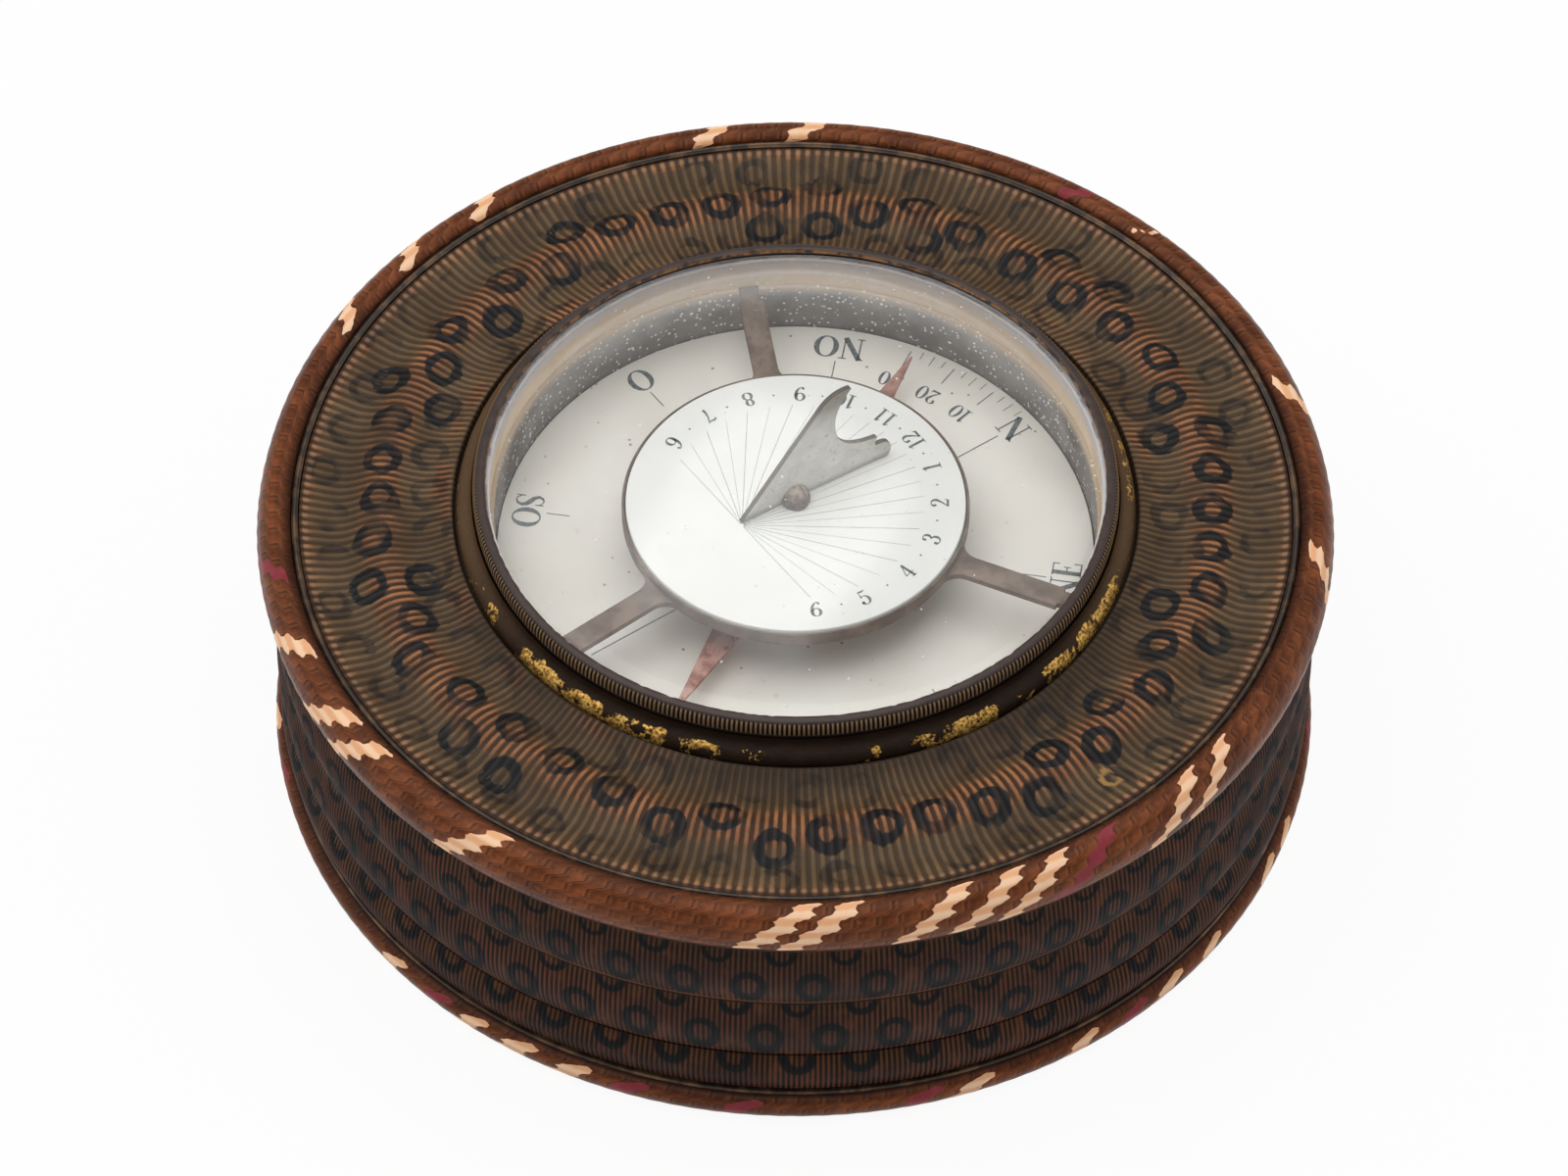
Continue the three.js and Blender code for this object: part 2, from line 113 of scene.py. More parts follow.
def display(red, green, blue):
    """A colour as seen on a screen, 0 to 255, as the linear colour that shaders want."""
    def straight(value):
        value /= 255
        return value / 12.92 if value <= 0.04045 else ((value + 0.055) / 1.055) ** 2.4
    return (straight(red), straight(green), straight(blue), 1.0)


def tinted(tone):
    """The linear colour of three numbers from 0 to 255; anything else stays as it is."""
    return display(*tone) if isinstance(tone, tuple) and len(tone) == 3 else tone


class Wire:
    """One output of a shader node that can be used in sums."""

    def __init__(self, finish, socket):
        self.finish = finish
        self.socket = socket

    def __add__(self, other):
        return self.finish.math("ADD", self, other)

    def __sub__(self, other):
        return self.finish.math("SUBTRACT", self, other)

    def __rsub__(self, other):
        return self.finish.math("SUBTRACT", other, self)

    def __mul__(self, other):
        return self.finish.math("MULTIPLY", self, other)

    def __abs__(self):
        return self.finish.math("ABSOLUTE", self)

    __radd__ = __add__
    __rmul__ = __mul__


class Finish:
    """A procedural material and the nodes that make its colour, gloss and relief."""

    def __init__(self, name):
        self.material = bpy.data.materials.new(name)
        self.material.use_nodes = True
        self.tree = self.material.node_tree
        self.shader = self.tree.nodes["Principled BSDF"]
        coordinates = self.add("ShaderNodeTexCoord", output="Object")
        self.place = self.add("ShaderNodeVectorMath", {"operation": "SCALE"}, {0: coordinates, 3: 1 / MM})
        axes = self.add("ShaderNodeSeparateXYZ", inputs={0: self.place}).socket.node.outputs
        self.x, self.y, self.z = (Wire(self, axis) for axis in axes)

    def add(self, kind, settings=None, inputs=None, output=0):
        node = self.tree.nodes.new(kind)
        for key, value in (settings or {}).items():
            setattr(node, key, value)
        for key, value in (inputs or {}).items():
            self.feed(node.inputs[key], value)
        return Wire(self, node.outputs[output])

    def feed(self, socket, value):
        if isinstance(value, Wire):
            self.tree.links.new(value.socket, socket)
        else:
            socket.default_value = value

    def math(self, operation, *values):
        return self.add("ShaderNodeMath", {"operation": operation}, dict(enumerate(values)))

    def least(self, first, second):
        return self.math("MINIMUM", first, second)

    def most(self, first, second):
        return self.math("MAXIMUM", first, second)

    def radius(self):
        return self.math("SQRT", self.x * self.x + self.y * self.y)

    def azimuth(self):
        return self.math("ARCTAN2", self.y, self.x)

    def waves(self, kind, value):
        """A sine or cosine that runs from 0 to 1."""
        return self.math(kind, value) * 0.5 + 0.5

    def rise(self, value, low, high):
        """Smooth step from 0 at low to 1 at high."""
        inputs = {0: value, 1: low, 2: high}
        return self.add("ShaderNodeMapRange", {"interpolation_type": "SMOOTHSTEP"}, inputs)

    def between(self, value, low, high, soft):
        """1 from low to high and 0 outside, with soft ends."""
        return self.rise(value, low - soft, low + soft) * (1 - self.rise(value, high - soft, high + soft))

    def blend(self, factor, first, second):
        """A mix of two colours, each a wire or three numbers from 0 to 255."""
        inputs = {0: factor, 6: tinted(first), 7: tinted(second)}
        return self.add("ShaderNodeMix", {"data_type": "RGBA"}, inputs, 2)

    def mottle(self, value, low, high, first, second):
        """The first colour where the value is low, the second where it is high."""
        return self.blend(self.rise(value, low, high), first, second)

    def grain(self, size, detail=2.0, stretch=None, seed=0.0):
        """Noise between about 0 and 1, whose lumps are about the given size in millimetres."""
        place = self.place
        if stretch:
            place = self.add("ShaderNodeVectorMath", {"operation": "MULTIPLY"}, {0: place, 1: stretch})
        inputs = {"Vector": place, "Scale": 1 / size, "Detail": detail, "W": seed}
        return self.add("ShaderNodeTexNoise", {"noise_dimensions": "4D"}, inputs)

    def cells(self, scale):
        """Distance from the nearest of many scattered points."""
        inputs = {"Vector": self.place, "Scale": scale}
        return self.add("ShaderNodeTexVoronoi", {"feature": "F1"}, inputs, "Distance")

    def attribute(self, name):
        return self.add("ShaderNodeAttribute", {"attribute_name": name}, output="Fac")

    def dress(self, tone, roughness, relief=None, metallic=0.0, shine=0.5):
        """Feed the shader; a relief is a height, its full depth in millimetres and its strength."""
        sockets = {"Base Color": tinted(tone), "Roughness": roughness, "Metallic": metallic,
                   "Specular IOR Level": shine}
        if relief:
            height, depth, strength = relief
            inputs = {"Strength": strength, "Distance": depth * MM, "Height": height}
            sockets["Normal"] = self.add("ShaderNodeBump", {}, inputs)
        for name, value in sockets.items():
            self.feed(self.shader.inputs[name], value)
        return self.material

    def coats(self, tone, *layers):
        """Lay colours over a tone one after another, each given as a mask and a colour."""
        for mask, colour in layers:
            tone = self.blend(mask, tone, colour)
        return tone

    def mixed(self, factor, first, second):
        return self.add("ShaderNodeMixShader", inputs={0: factor, 1: first, 2: second})

    def surface(self, shader):
        """Use this shader instead of the plain one."""
        self.tree.links.new(shader.socket, self.tree.nodes["Material Output"].inputs[0])
        return self.material


# Mesh helpers


def softened(points, rounds=2):
    """An open outline with its corners cut smooth; the ends stay."""
    for _ in range(rounds):
        cut = [points[0]]
        for (r0, z0), (r1, z1) in zip(points, points[1:]):
            cut.append((0.75 * r0 + 0.25 * r1, 0.75 * z0 + 0.25 * z1))
            cut.append((0.25 * r0 + 0.75 * r1, 0.25 * z0 + 0.75 * z1))
        cut.append(points[-1])
        points = cut
    return points


def spaced(points, count):
    """The same open outline with its points spread evenly."""
    lengths = [0.0]
    for (r0, z0), (r1, z1) in zip(points, points[1:]):
        lengths.append(lengths[-1] + math.hypot(r1 - r0, z1 - z0))
    result = []
    index = 0
    for step in range(count + 1):
        want = lengths[-1] * step / count
        while index < len(lengths) - 2 and lengths[index + 1] < want:
            index += 1
        span = lengths[index + 1] - lengths[index] or 1.0
        share = min(max((want - lengths[index]) / span, 0), 1)
        (r0, z0), (r1, z1) = points[index], points[index + 1]
        result.append((r0 + share * (r1 - r0), z0 + share * (z1 - z0)))
    return result


def curve(corners, steps=8):
    """Points along a Bezier curve drawn by a list of corners, without its first."""
    points = []
    for step in range(1, steps + 1):
        share = step / steps
        rest = corners
        while len(rest) > 1:
            rest = [(x0 + (x1 - x0) * share, y0 + (y1 - y0) * share)
                    for (x0, y0), (x1, y1) in zip(rest, rest[1:])]
        points.append(rest[0])
    return points


def toward(azimuth, reach=1.0):
    """A point on a level plane, in radians and millimetres from the axis."""
    return Vector((math.cos(azimuth), math.sin(azimuth))) * reach


def around(azimuth, radius, height):
    return Vector((radius * math.cos(azimuth), radius * math.sin(azimuth), height))


def turn_gap(azimuth, degrees):
    """Signed angle in degrees from a direction to an azimuth given in radians."""
    return (math.degrees(azimuth) - degrees + 180) % 360 - 180


def turned(bm, degrees):
    matrix = Matrix.Rotation(math.radians(degrees), 3, "Z")
    bmesh.ops.rotate(bm, verts=bm.verts, cent=(0, 0, 0), matrix=matrix)
    return bm


def made_verts(found):
    """The vertices among what an operator made."""
    return [item for item in found["geom"] if isinstance(item, bmesh.types.BMVert)]


def spun(outline, steps, closed=True, start=0.0, angle=TURN):
    """Spin an outline of radius and height; each vertex remembers its place along the outline.

    A full turn is spun as one sector, which is then doubled until the turn is closed.
    """
    bm = bmesh.new()
    along = bm.verts.layers.float.new("along")
    verts = []
    length = 0.0
    for (r0, z0), (r1, z1) in zip(outline[:1] + outline, outline):
        length += math.hypot(r1 - r0, z1 - z0)
        verts.append(bm.verts.new(around(start, r1, z1)))
        verts[-1][along] = length
    edges = [bm.edges.new(pair) for pair in zip(verts, verts[1:])]
    if closed:
        edges.append(bm.edges.new((verts[-1], verts[0])))
    whole = angle == TURN
    doublings = 0
    while whole and doublings < MOST_DOUBLINGS and steps % 2 == 0:
        steps //= 2
        angle /= 2
        doublings += 1
    bmesh.ops.spin(bm, geom=verts + edges, cent=(0, 0, 0), axis=(0, 0, 1), angle=angle, steps=steps,
                   use_merge=False, use_duplicate=False)
    for _ in range(doublings):
        copy = bmesh.ops.duplicate(bm, geom=bm.verts[:] + bm.edges[:] + bm.faces[:])
        matrix = Matrix.Rotation(angle, 3, "Z")
        bmesh.ops.rotate(bm, verts=made_verts(copy), cent=(0, 0, 0), matrix=matrix)
        angle *= 2
    bmesh.ops.remove_doubles(bm, verts=bm.verts, dist=1e-3)
    if not whole and closed:
        bmesh.ops.holes_fill(bm, edges=[edge for edge in bm.edges if edge.is_boundary])
    bmesh.ops.recalc_face_normals(bm, faces=bm.faces)
    return bm


def plate(points, rise, rounding):
    """A flat plate cut to a loop of points and raised by a vector, with its rims rounded."""
    bm = bmesh.new()
    face = bm.faces.new([bm.verts.new(point) for point in points])
    lift = bmesh.ops.extrude_face_region(bm, geom=[face])
    bmesh.ops.translate(bm, verts=made_verts(lift), vec=rise)
    bmesh.ops.recalc_face_normals(bm, faces=bm.faces)
    upright = rise.normalized()
    rims = [edge for edge in bm.edges
            if abs((edge.verts[0].co - edge.verts[1].co).dot(upright)) < 0.01]
    bmesh.ops.bevel(bm, geom=rims, offset=rounding, segments=2, profile=0.5, affect="EDGES", material=-1)
    return bm


def spots(bm):
    """Every vertex with its azimuth, radius, height and place along the outline."""
    along = bm.verts.layers.float["along"]
    for vert in bm.verts:
        x, y, z = vert.co
        yield vert, (math.atan2(y, x), math.hypot(x, y), z, vert[along])


def moved(bm, shift):
    """Move every vertex by what shift(azimuth, radius, height, along) says, outwards and upwards."""
    for vert, spot in spots(bm):
        if spot[1] > 0:
            out, up = shift(*spot)
            scale = (spot[1] + out) / spot[1]
            vert.co = (vert.co.x * scale, vert.co.y * scale, vert.co.z + up)


def mark(bm, name, value):
    """Keep a number on every vertex, from value(azimuth, radius, height, along)."""
    layer = bm.verts.layers.float.new(name)
    for vert, spot in spots(bm):
        vert[layer] = value(*spot)


def meshed(name, bm):
    mesh = bpy.data.meshes.new(name)
    bm.to_mesh(mesh)
    bm.free()
    return mesh


def joined(bm, other):
    """Add a second mesh to the first."""
    mesh = meshed("part", other)
    bm.from_mesh(mesh)
    bpy.data.meshes.remove(mesh)


def placed(name, data):
    obj = bpy.data.objects.new(name, data)
    bpy.context.scene.collection.objects.link(obj)
    return obj


def piece(name, bm, finish, body, stands_for=(), crease=32.0):
    """Finish a piece: millimetres become metres, and it rides on its body."""
    bmesh.ops.scale(bm, vec=(MM, MM, MM), verts=bm.verts)
    for face in bm.faces:
        face.smooth = True
    mesh = meshed(name, bm)
    mesh.set_sharp_from_angle(angle=math.radians(crease))
    mesh.materials.append(finish)
    obj = placed(name, mesh)
    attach(obj, body)
    if stands_for:
        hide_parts(*stands_for)


# The plain turned box: profiles of bands, beads and the ridged top


def band(bottom, top, count=14):
    """One bulging band of the wall; the powers make it round and put its fullest place low."""
    points = []
    for index in range(count + 1):
        share = index / count
        bulge = math.sin(math.pi * share ** 0.86) ** 0.8 if 0 < share < 1 else 0.0
        radius = GROOVE_RADIUS + (BAND_RADIUS - GROOVE_RADIUS) * bulge
        points.append((radius, bottom + share * (top - bottom)))
    return points


def wall_ridge(azimuth, radius, _height, _along):
    """Fine upright ridges of the bands, which fade in the hollow between two bands."""
    if radius < GROOVE_RADIUS + 0.04:
        return 0.0, 0.0
    depth = WALL_RIDGE_DEPTH * min(1.0, (radius - GROOVE_RADIUS) / 0.2)
    return depth * (math.cos(WALL_RIDGES * azimuth) - 1), 0.0


FLANGE_POINTS = [
    (26.5, 24.3), (26.62, 24.72), (26.9, 24.84), (27.8, 24.5), (29.1, 24.2), (30.3, 24.36),
    (31.3, 24.72), (32.3, 24.92), (33.3, 24.72), (34.3, 24.2), (35.4, 23.86), (36.6, 24.02),
    (37.6, 24.3), (38.4, 24.46),
]


def by_degree(centres):
    """The rings near each whole degree, so that a vertex looks at a few only."""
    near = [[] for _ in range(360)]
    for degrees, centre in centres:
        for step in range(-6, 7):
            near[int(degrees + step) % 360].append((degrees, centre))
    return near


def ring_line(azimuth, radius, near, half_wide, half_high):
    """Distance in millimetres from the nearest ring's line."""
    nearest = 2.0
    for degrees, centre in near[int(math.degrees(azimuth)) % 360]:
        if abs(radius - centre) < half_high + 1:
            across = math.radians(turn_gap(azimuth, degrees)) * radius
            reach = math.hypot(across / half_wide, (radius - centre) / half_high)
            nearest = min(nearest, abs(reach - 1) * half_high)
    return nearest


# Rings of the ridged top, on its crest and the fainter ones on either side: azimuth in degrees and
# distance from the axis

CREST_RINGS = by_degree([
    (303, 34.5), (307.2, 31.5), (314, 33.4), (319.6, 30.7), (325.8, 33.0), (332.8, 31.2),
    (337.8, 34.5), (340.5, 29.8), (344.8, 33.0), (352, 32.4), (359.0, 32.4), (6.4, 32.8),
    (13.6, 33.9), (14.2, 29.4), (21.2, 31.3), (28.4, 32.8), (36.6, 31.6), (42, 34.2), (45.8, 31.0),
    (51, 33.9), (55.2, 31.0), (64.6, 31.8), (70.6, 30.2), (73, 33.5), (79.4, 31.6), (86.4, 34.4),
    (86.2, 29.9), (93.8, 33.1), (95.0, 29.6), (101, 32.5), (108.6, 32.6), (116.4, 33.1),
    (122.8, 34.6), (127.6, 31.1), (134.8, 33.0), (140.8, 30.2), (147.2, 32.9), (153.8, 31.2),
    (158.2, 34.6), (161, 29.5), (165.6, 32.9), (173.0, 32.6), (180.2, 32.4), (187.6, 33.0),
    (195, 34.0), (195.6, 29.7), (203, 31.4), (209.2, 33.3), (218.2, 31.7), (223, 34.6), (227.4, 31.0),
    (231, 35.0), (236.4, 31.3), (245, 32.0), (253.2, 33.5), (260.2, 31.7), (267.6, 34.2),
    (274.4, 33.0), (281.8, 32.7), (288.8, 32.7), (296, 33.4),
])
OUTER_RINGS = by_degree([(2.0 + 7.2 * step, 36.5 + 0.5 * math.sin(step * 1.9)) for step in range(50)])
INNER_RINGS = by_degree([(6.0 + 360 / 46 * step, 28.7 + 0.4 * math.sin(step * 1.3))
                         for step in range(46)])


# Print on the card and the dial: strokes of print laid on a flat face


def stroke(bm, points, height, widths):
    """A flat stroke through points, with a width at each."""
    rails = []
    for index, (x, y) in enumerate(points):
        ahead = points[min(index + 1, len(points) - 1)]
        behind = points[max(index - 1, 0)]
        run = Vector((ahead[0] - behind[0], ahead[1] - behind[1])).normalized()
        half = widths[index] / 2
        rails.append((bm.verts.new((x - run.y * half, y + run.x * half, height)),
                      bm.verts.new((x + run.y * half, y - run.x * half, height))))
    for (left, right), (left2, right2) in zip(rails, rails[1:]):
        bm.faces.new((right, right2, left2, left))


def bowl(cx, cy, rx, ry, start=0, end=360, thick=0.17):
    """A curved stroke of a letter, thick at its sides and thin at its top and foot."""
    steps = 18
    points = []
    for step in range(steps + 1):
        angle = math.radians(start + (end - start) * step / steps)
        width = HAIRLINE + (thick - HAIRLINE) * abs(math.cos(angle)) ** 1.6
        points.append((cx + rx * math.cos(angle), cy + ry * math.sin(angle), width))
    return points


def bar(x0, y0, x1, y1, width=HAIRLINE):
    return [(x0, y0, width), (x1, y1, width)]


def knob(x, y, size):
    """A round end of a stroke."""
    return [(x + size * share, y, max(size * width, 0.02))
            for share, width in ((-1, 0), (-0.7, 1.4), (0, 2), (0.7, 1.4), (1, 0))]


# Letters and numerals one unit high: strokes of points with a width at each

GLYPHS = {
    "0": [bowl(0.3, 0.5, 0.22, 0.47)],
    "1": [bar(0.32, 0, 0.32, 1, 0.15), bar(0.12, 0.02, 0.52, 0.02), bar(0.13, 0.84, 0.32, 0.97, 0.05)],
    "2": [bowl(0.29, 0.72, 0.21, 0.25, 165, -30),
          [(0.46, 0.6, 0.15), (0.34, 0.38, 0.1), (0.08, 0.05, 0.05)],
          bar(0.07, 0.07, 0.54, 0.07, 0.13), bar(0.53, 0.07, 0.55, 0.24), knob(0.13, 0.74, 0.08)],
    "3": [bowl(0.27, 0.75, 0.19, 0.22, 155, -90), bowl(0.26, 0.27, 0.24, 0.26, 90, -155),
          knob(0.12, 0.8, 0.08), knob(0.09, 0.2, 0.09)],
    "4": [bar(0.4, 0, 0.4, 1, 0.15), bar(0.4, 0.98, 0.04, 0.31, 0.05), bar(0.02, 0.3, 0.6, 0.3, 0.05),
          bar(0.24, 0.02, 0.56, 0.02)],
    "5": [[(0.13, 0.95, 0.09), (0.3, 0.92, 0.11), (0.48, 0.97, 0.05)], bar(0.13, 0.97, 0.12, 0.52),
          bowl(0.26, 0.32, 0.24, 0.3, 130, -155), knob(0.09, 0.19, 0.09)],
    "6": [bowl(0.44, 0.4, 0.36, 0.58, 85, 190), bowl(0.3, 0.28, 0.22, 0.27), knob(0.46, 0.88, 0.08)],
    "7": [[(0.05, 0.9, 0.1), (0.2, 0.95, 0.13), (0.4, 0.9, 0.1), (0.54, 0.97, 0.05)],
          [(0.54, 0.97, 0.05), (0.34, 0.6, 0.09), (0.26, 0.25, 0.14), (0.27, 0.0, 0.15)],
          bar(0.06, 0.99, 0.05, 0.78)],
    "8": [bowl(0.3, 0.75, 0.17, 0.22), bowl(0.3, 0.27, 0.22, 0.26)],
    "9": [bowl(0.16, 0.6, 0.36, 0.58, -95, 10), bowl(0.3, 0.72, 0.22, 0.27), knob(0.14, 0.12, 0.08)],
    "N": [bar(0.13, 0, 0.13, 1, 0.055), bar(0.1, 1, 0.7, 0, 0.19), bar(0.7, 0, 0.7, 1, 0.055),
          bar(0, 0.02, 0.27, 0.02), bar(-0.03, 0.98, 0.2, 0.98), bar(0.56, 0.98, 0.86, 0.98)],
    "O": [bowl(0.42, 0.5, 0.35, 0.48, thick=0.2)],
    "S": [[(0.49, 0.8, 0.03), (0.42, 0.93, 0.05), (0.3, 0.98, 0.05), (0.17, 0.92, 0.09),
           (0.11, 0.78, 0.13), (0.18, 0.63, 0.17), (0.33, 0.52, 0.2), (0.46, 0.4, 0.17),
           (0.52, 0.24, 0.13), (0.45, 0.09, 0.09), (0.31, 0.02, 0.05), (0.18, 0.06, 0.05),
           (0.09, 0.22, 0.03)],
          bar(0.49, 1, 0.49, 0.7), bar(0.09, 0, 0.09, 0.32)],
    "E": [bar(0.17, 0, 0.17, 1, 0.18), bar(0.02, 0.98, 0.57, 0.98), bar(0.02, 0.02, 0.6, 0.02),
          bar(0.17, 0.5, 0.42, 0.5), bar(0.57, 1, 0.57, 0.76), bar(0.6, 0, 0.6, 0.28),
          bar(0.42, 0.38, 0.42, 0.62)],
}
WIDE = {"N": 0.92, "O": 0.92, "1": 0.56}


def words(bm, text, azimuth, radius, size, height, wide=1.0):
    """Print a word whose letters have their tops towards the axis."""
    advance = [WIDE.get(letter, 0.66) * wide for letter in text]
    cursor = -sum(advance) / 2
    out = toward(math.radians(azimuth))
    right = Vector((-out.y, out.x))
    for letter, step in zip(text, advance):
        for path in GLYPHS[letter]:
            points = [out * radius + right * size * (cursor + x * wide) - out * size * (y - 0.5)
                      for x, y, _ in path]
            stroke(bm, points, height, [width * size for _, _, width in path])
        cursor += step


def ray(bm, azimuth, inner, outer, width, height):
    ends = [toward(math.radians(azimuth), reach) for reach in (inner, outer)]
    stroke(bm, ends, height, [width, width])


# Finishes


def wall_finish():
    f = Finish("turned tortoiseshell")
    azimuth = f.azimuth()
    z = f.z
    pitch = TURN / WALL_LOBES

    def across(degrees):
        """Signed distance in millimetres from the middle of the nearest ring of a row."""
        turns = (azimuth - math.radians(degrees)) * (1 / pitch) + 0.5
        return (f.math("FRACT", turns) - 0.5) * (pitch * BAND_RADIUS)

    def egg(x, centre, half, above, below):
        """Distance from the line of a ring that is drawn out above or below its centre."""
        rise = f.most(z - centre, 0.0) * (1 / above)
        drop = f.least(z - centre, 0.0) * (1 / below)
        return abs(f.math("SQRT", x * x + rise * rise + drop * drop) - half)

    upper, middle = across(255.2), across(257.05)
    upper_arch, middle_arch = across(258.6), across(253.65)
    wander = (f.grain(2.0) - 0.5) * 0.35
    # for each row: distance from its rings' line, half the line's width, and the heights it is seen at
    rows = (
        (egg(upper, 19.9, 0.98, 1.0, 1.0), 0.24, (17.6, 20.1)),
        (egg(upper_arch, 16.5, 1.05, 1.1, 1.75), 0.34, (13.95, 19.0)),
        (egg(middle, 13.7, 1.0, 1.0, 1.05), 0.28, (11.9, 13.72)),
        (egg(middle_arch, 10.2, 1.05, 1.1, 1.8), 0.36, (7.4, 12.4)),
        (egg(middle, 6.9, 1.05, 1.0, 1.1), 0.38, (4.6, 7.1)),
    )
    line = None
    for distance, half, (low, high) in rows:
        row = (1 - f.rise(distance + wander, half - 0.13, half + 0.13)) * f.between(z, low, high, 0.08)
        line = row if line is None else f.most(line, row)
    ridge = f.waves("COSINE", azimuth * WALL_RIDGES)
    cloud = f.grain(7.0, 3.0)
    shade = f.grain(1.1, 3.0, (1.0, 1.0, 0.45), 4.0)
    body = f.mottle(cloud, 0.36, 0.66, (68, 39, 27), (89, 51, 34))
    # the top of each band is more olive, the lowest band darker and clearer cut
    lower_tops = f.most(f.between(z, 12.5, 13.7, 0.35), f.between(z, 5.6, 7.1, 0.3))
    olive = f.most(f.between(z, 18.6, 20.4, 0.5), lower_tops)
    body = f.blend(olive * 0.6, body, (82, 55, 30))
    low = 1 - f.rise(z, 5.0, 6.0)
    cut = f.blend(low, (32, 16, 10), (21, 10, 7))
    # dark lines at the grooves under the bead and between the lid's bands: partly the grooves' own dark
    # colour, partly painted shade under the parts above
    groove_line_and_shade = f.most(f.between(z, 20.15, 20.8, 0.06), f.between(z, 13.6, 13.74, 0.03))
    # painted highlight: a thin lighter line along the lower edge of the upper band
    band_edge_highlight = f.between(z, 13.76, 13.88, 0.03)
    tone = f.coats(
        f.blend(f.rise(ridge + (shade - 0.5) * 0.8, 0.2, 0.85), cut, body),
        (f.rise(shade, 0.52, 0.72) * 0.25, (112, 66, 43)),
        (line * 0.95, f.blend(ridge, (3, 5, 7), (11, 16, 21))),
        (groove_line_and_shade * 0.8, (23, 15, 11)),
        (band_edge_highlight * 0.6, (128, 80, 48)))
    return f.dress(tone, f.grain(2.0) * 0.2 + 0.36, (shade * 0.6 + f.grain(0.25) * 0.4, 0.03, 0.6),
                   shine=0.08)


def shell_finish():
    f = Finish("plain tortoiseshell")
    cloud = f.grain(9.0, 4.0)
    streak = f.grain(2.5, 4.0, (1.0, 1.0, 0.3), 2.0)
    tone = f.mottle(cloud, 0.35, 0.65, (57, 34, 24), (108, 66, 35))
    tone = f.blend(f.rise(streak, 0.55, 0.75) * 0.5, tone, (141, 88, 44))
    return f.dress(tone, f.grain(3.0) * 0.15 + 0.3, (f.grain(0.6, 3.0), 0.02, 0.5))


def lining_finish():
    f = Finish("pale shell lining")
    radius, azimuth = f.radius(), f.azimuth()
    cloud = f.grain(8.0, 4.0)
    rings = f.waves("SINE", radius * 5.2 + cloud * 3.0)
    relief = rings * 0.4 + f.math("SINE", azimuth * 40.0) * 0.02 + f.grain(0.4) * 0.4
    tone = f.coats(
        f.mottle(cloud, 0.3, 0.7, (96, 62, 34), (150, 104, 58)),
        (rings * 0.18, (70, 44, 26)),
        (f.rise(f.grain(1.4, 4.0, seed=3.0), 0.58, 0.72) * 0.35, (60, 38, 24)))
    return f.dress(tone, f.grain(2.0) * 0.2 + 0.38, (relief, 0.02, 0.5))


def flange_finish():
    f = Finish("ridged varnished shell")
    azimuth, radius = f.azimuth(), f.radius()
    number = f.math("FLOOR", azimuth * (FLANGE_RIDGES / TURN) + 0.5)
    chance = f.math("FRACT", f.math("SINE", number * 12.99) * 4375.8)
    ridge = f.waves("COSINE", azimuth * FLANGE_RIDGES)
    cloud = f.grain(6.0, 3.0)
    patch = f.grain(2.2, 3.0, seed=5.0)
    reach = radius + (patch - 0.5) * 1.6
    crest = f.between(reach, 31.0, 33.9, 0.6)
    edge = f.rise(reach, 37.5, 38.1)
    inner = f.between(reach, 26.9, 28.2, 0.3) * f.rise(cloud, 0.52, 0.64)
    worn = f.most(crest, f.most(edge * 0.75, inner)) * f.rise(cloud + (patch - 0.5) * 0.3, 0.3, 0.5)
    olive = f.mottle(cloud, 0.36, 0.66, (92, 70, 48), (122, 97, 69))
    copper = f.mottle(patch, 0.35, 0.65, (130, 84, 56), (164, 111, 74))
    # painted shade in the troughs of the ridged top's broad waves, mottled by the cloud
    trough_shade = f.most(f.between(reach, 34.4, 36.9, 0.7), f.between(reach, 28.9, 30.4, 0.6) * 0.4)
    top = f.blend(trough_shade * (cloud * 0.6), f.blend(worn * 0.9, olive, copper), (66, 56, 45))
    top = f.blend(chance * 0.16, top, (60, 46, 34))
    gap = f.blend(worn * 0.6, (42, 32, 24), (52, 34, 23))
    soft = 0.66 + 0.26 * worn
    tops = f.rise(ridge + (f.grain(0.35, 2.0) - 0.5) * 0.5, 0.25, 0.95)
    fray = (f.grain(0.6, 3.0, seed=7.0) - 0.5) * 0.4 + (chance - 0.5) * 0.26
    smudge = 1 - f.rise(f.grain(3.0, 2.0, seed=11.0), 0.36, 0.5)
    ring = 1 - f.rise(f.attribute("ring") + fray * (1 + smudge), 0.3, 0.5 + smudge * 0.3)
    faint = 1 - f.rise(f.attribute("faint ring") + fray, 0.24, 0.5)
    faint = faint * f.rise(f.grain(4.0, 2.0, seed=9.0), 0.42, 0.56)
    dark = f.blend(ridge, (9, 10, 12), (26, 31, 35))
    # painted shade at the foot of the gilt ring: the inner part of the ridged top darkens towards the
    # front
    ring_foot_shade = (1 - f.rise(radius, 26.9, 31.0)) * (1 - f.rise(f.y, -18.0, 8.0))
    tips = f.between(radius, 37.95, 38.3, 0.1) * ridge
    border = f.rise(radius, 38.32, 38.42)
    tone = f.coats(
        f.blend(tops * soft + (1 - soft), gap, top),
        (f.most(ring * (0.94 - smudge * 0.5), faint * 0.6), dark),
        (ring_foot_shade * 0.6, (26, 18, 12)),
        ((1 - f.rise(radius, 26.62, 26.95)) * 0.8, (22, 14, 10)),
        (tips * 0.35, (160, 134, 108)),
        (border * 0.75, (44, 30, 21)),
        (f.attribute("scar") * 0.8, (165, 125, 73)))
    return f.dress(tone, 0.34 + f.grain(1.4) * 0.2,
                   (f.grain(0.22, 2.0) * 0.6 + f.grain(0.9) * 0.4, 0.035, 0.6), shine=0.13)


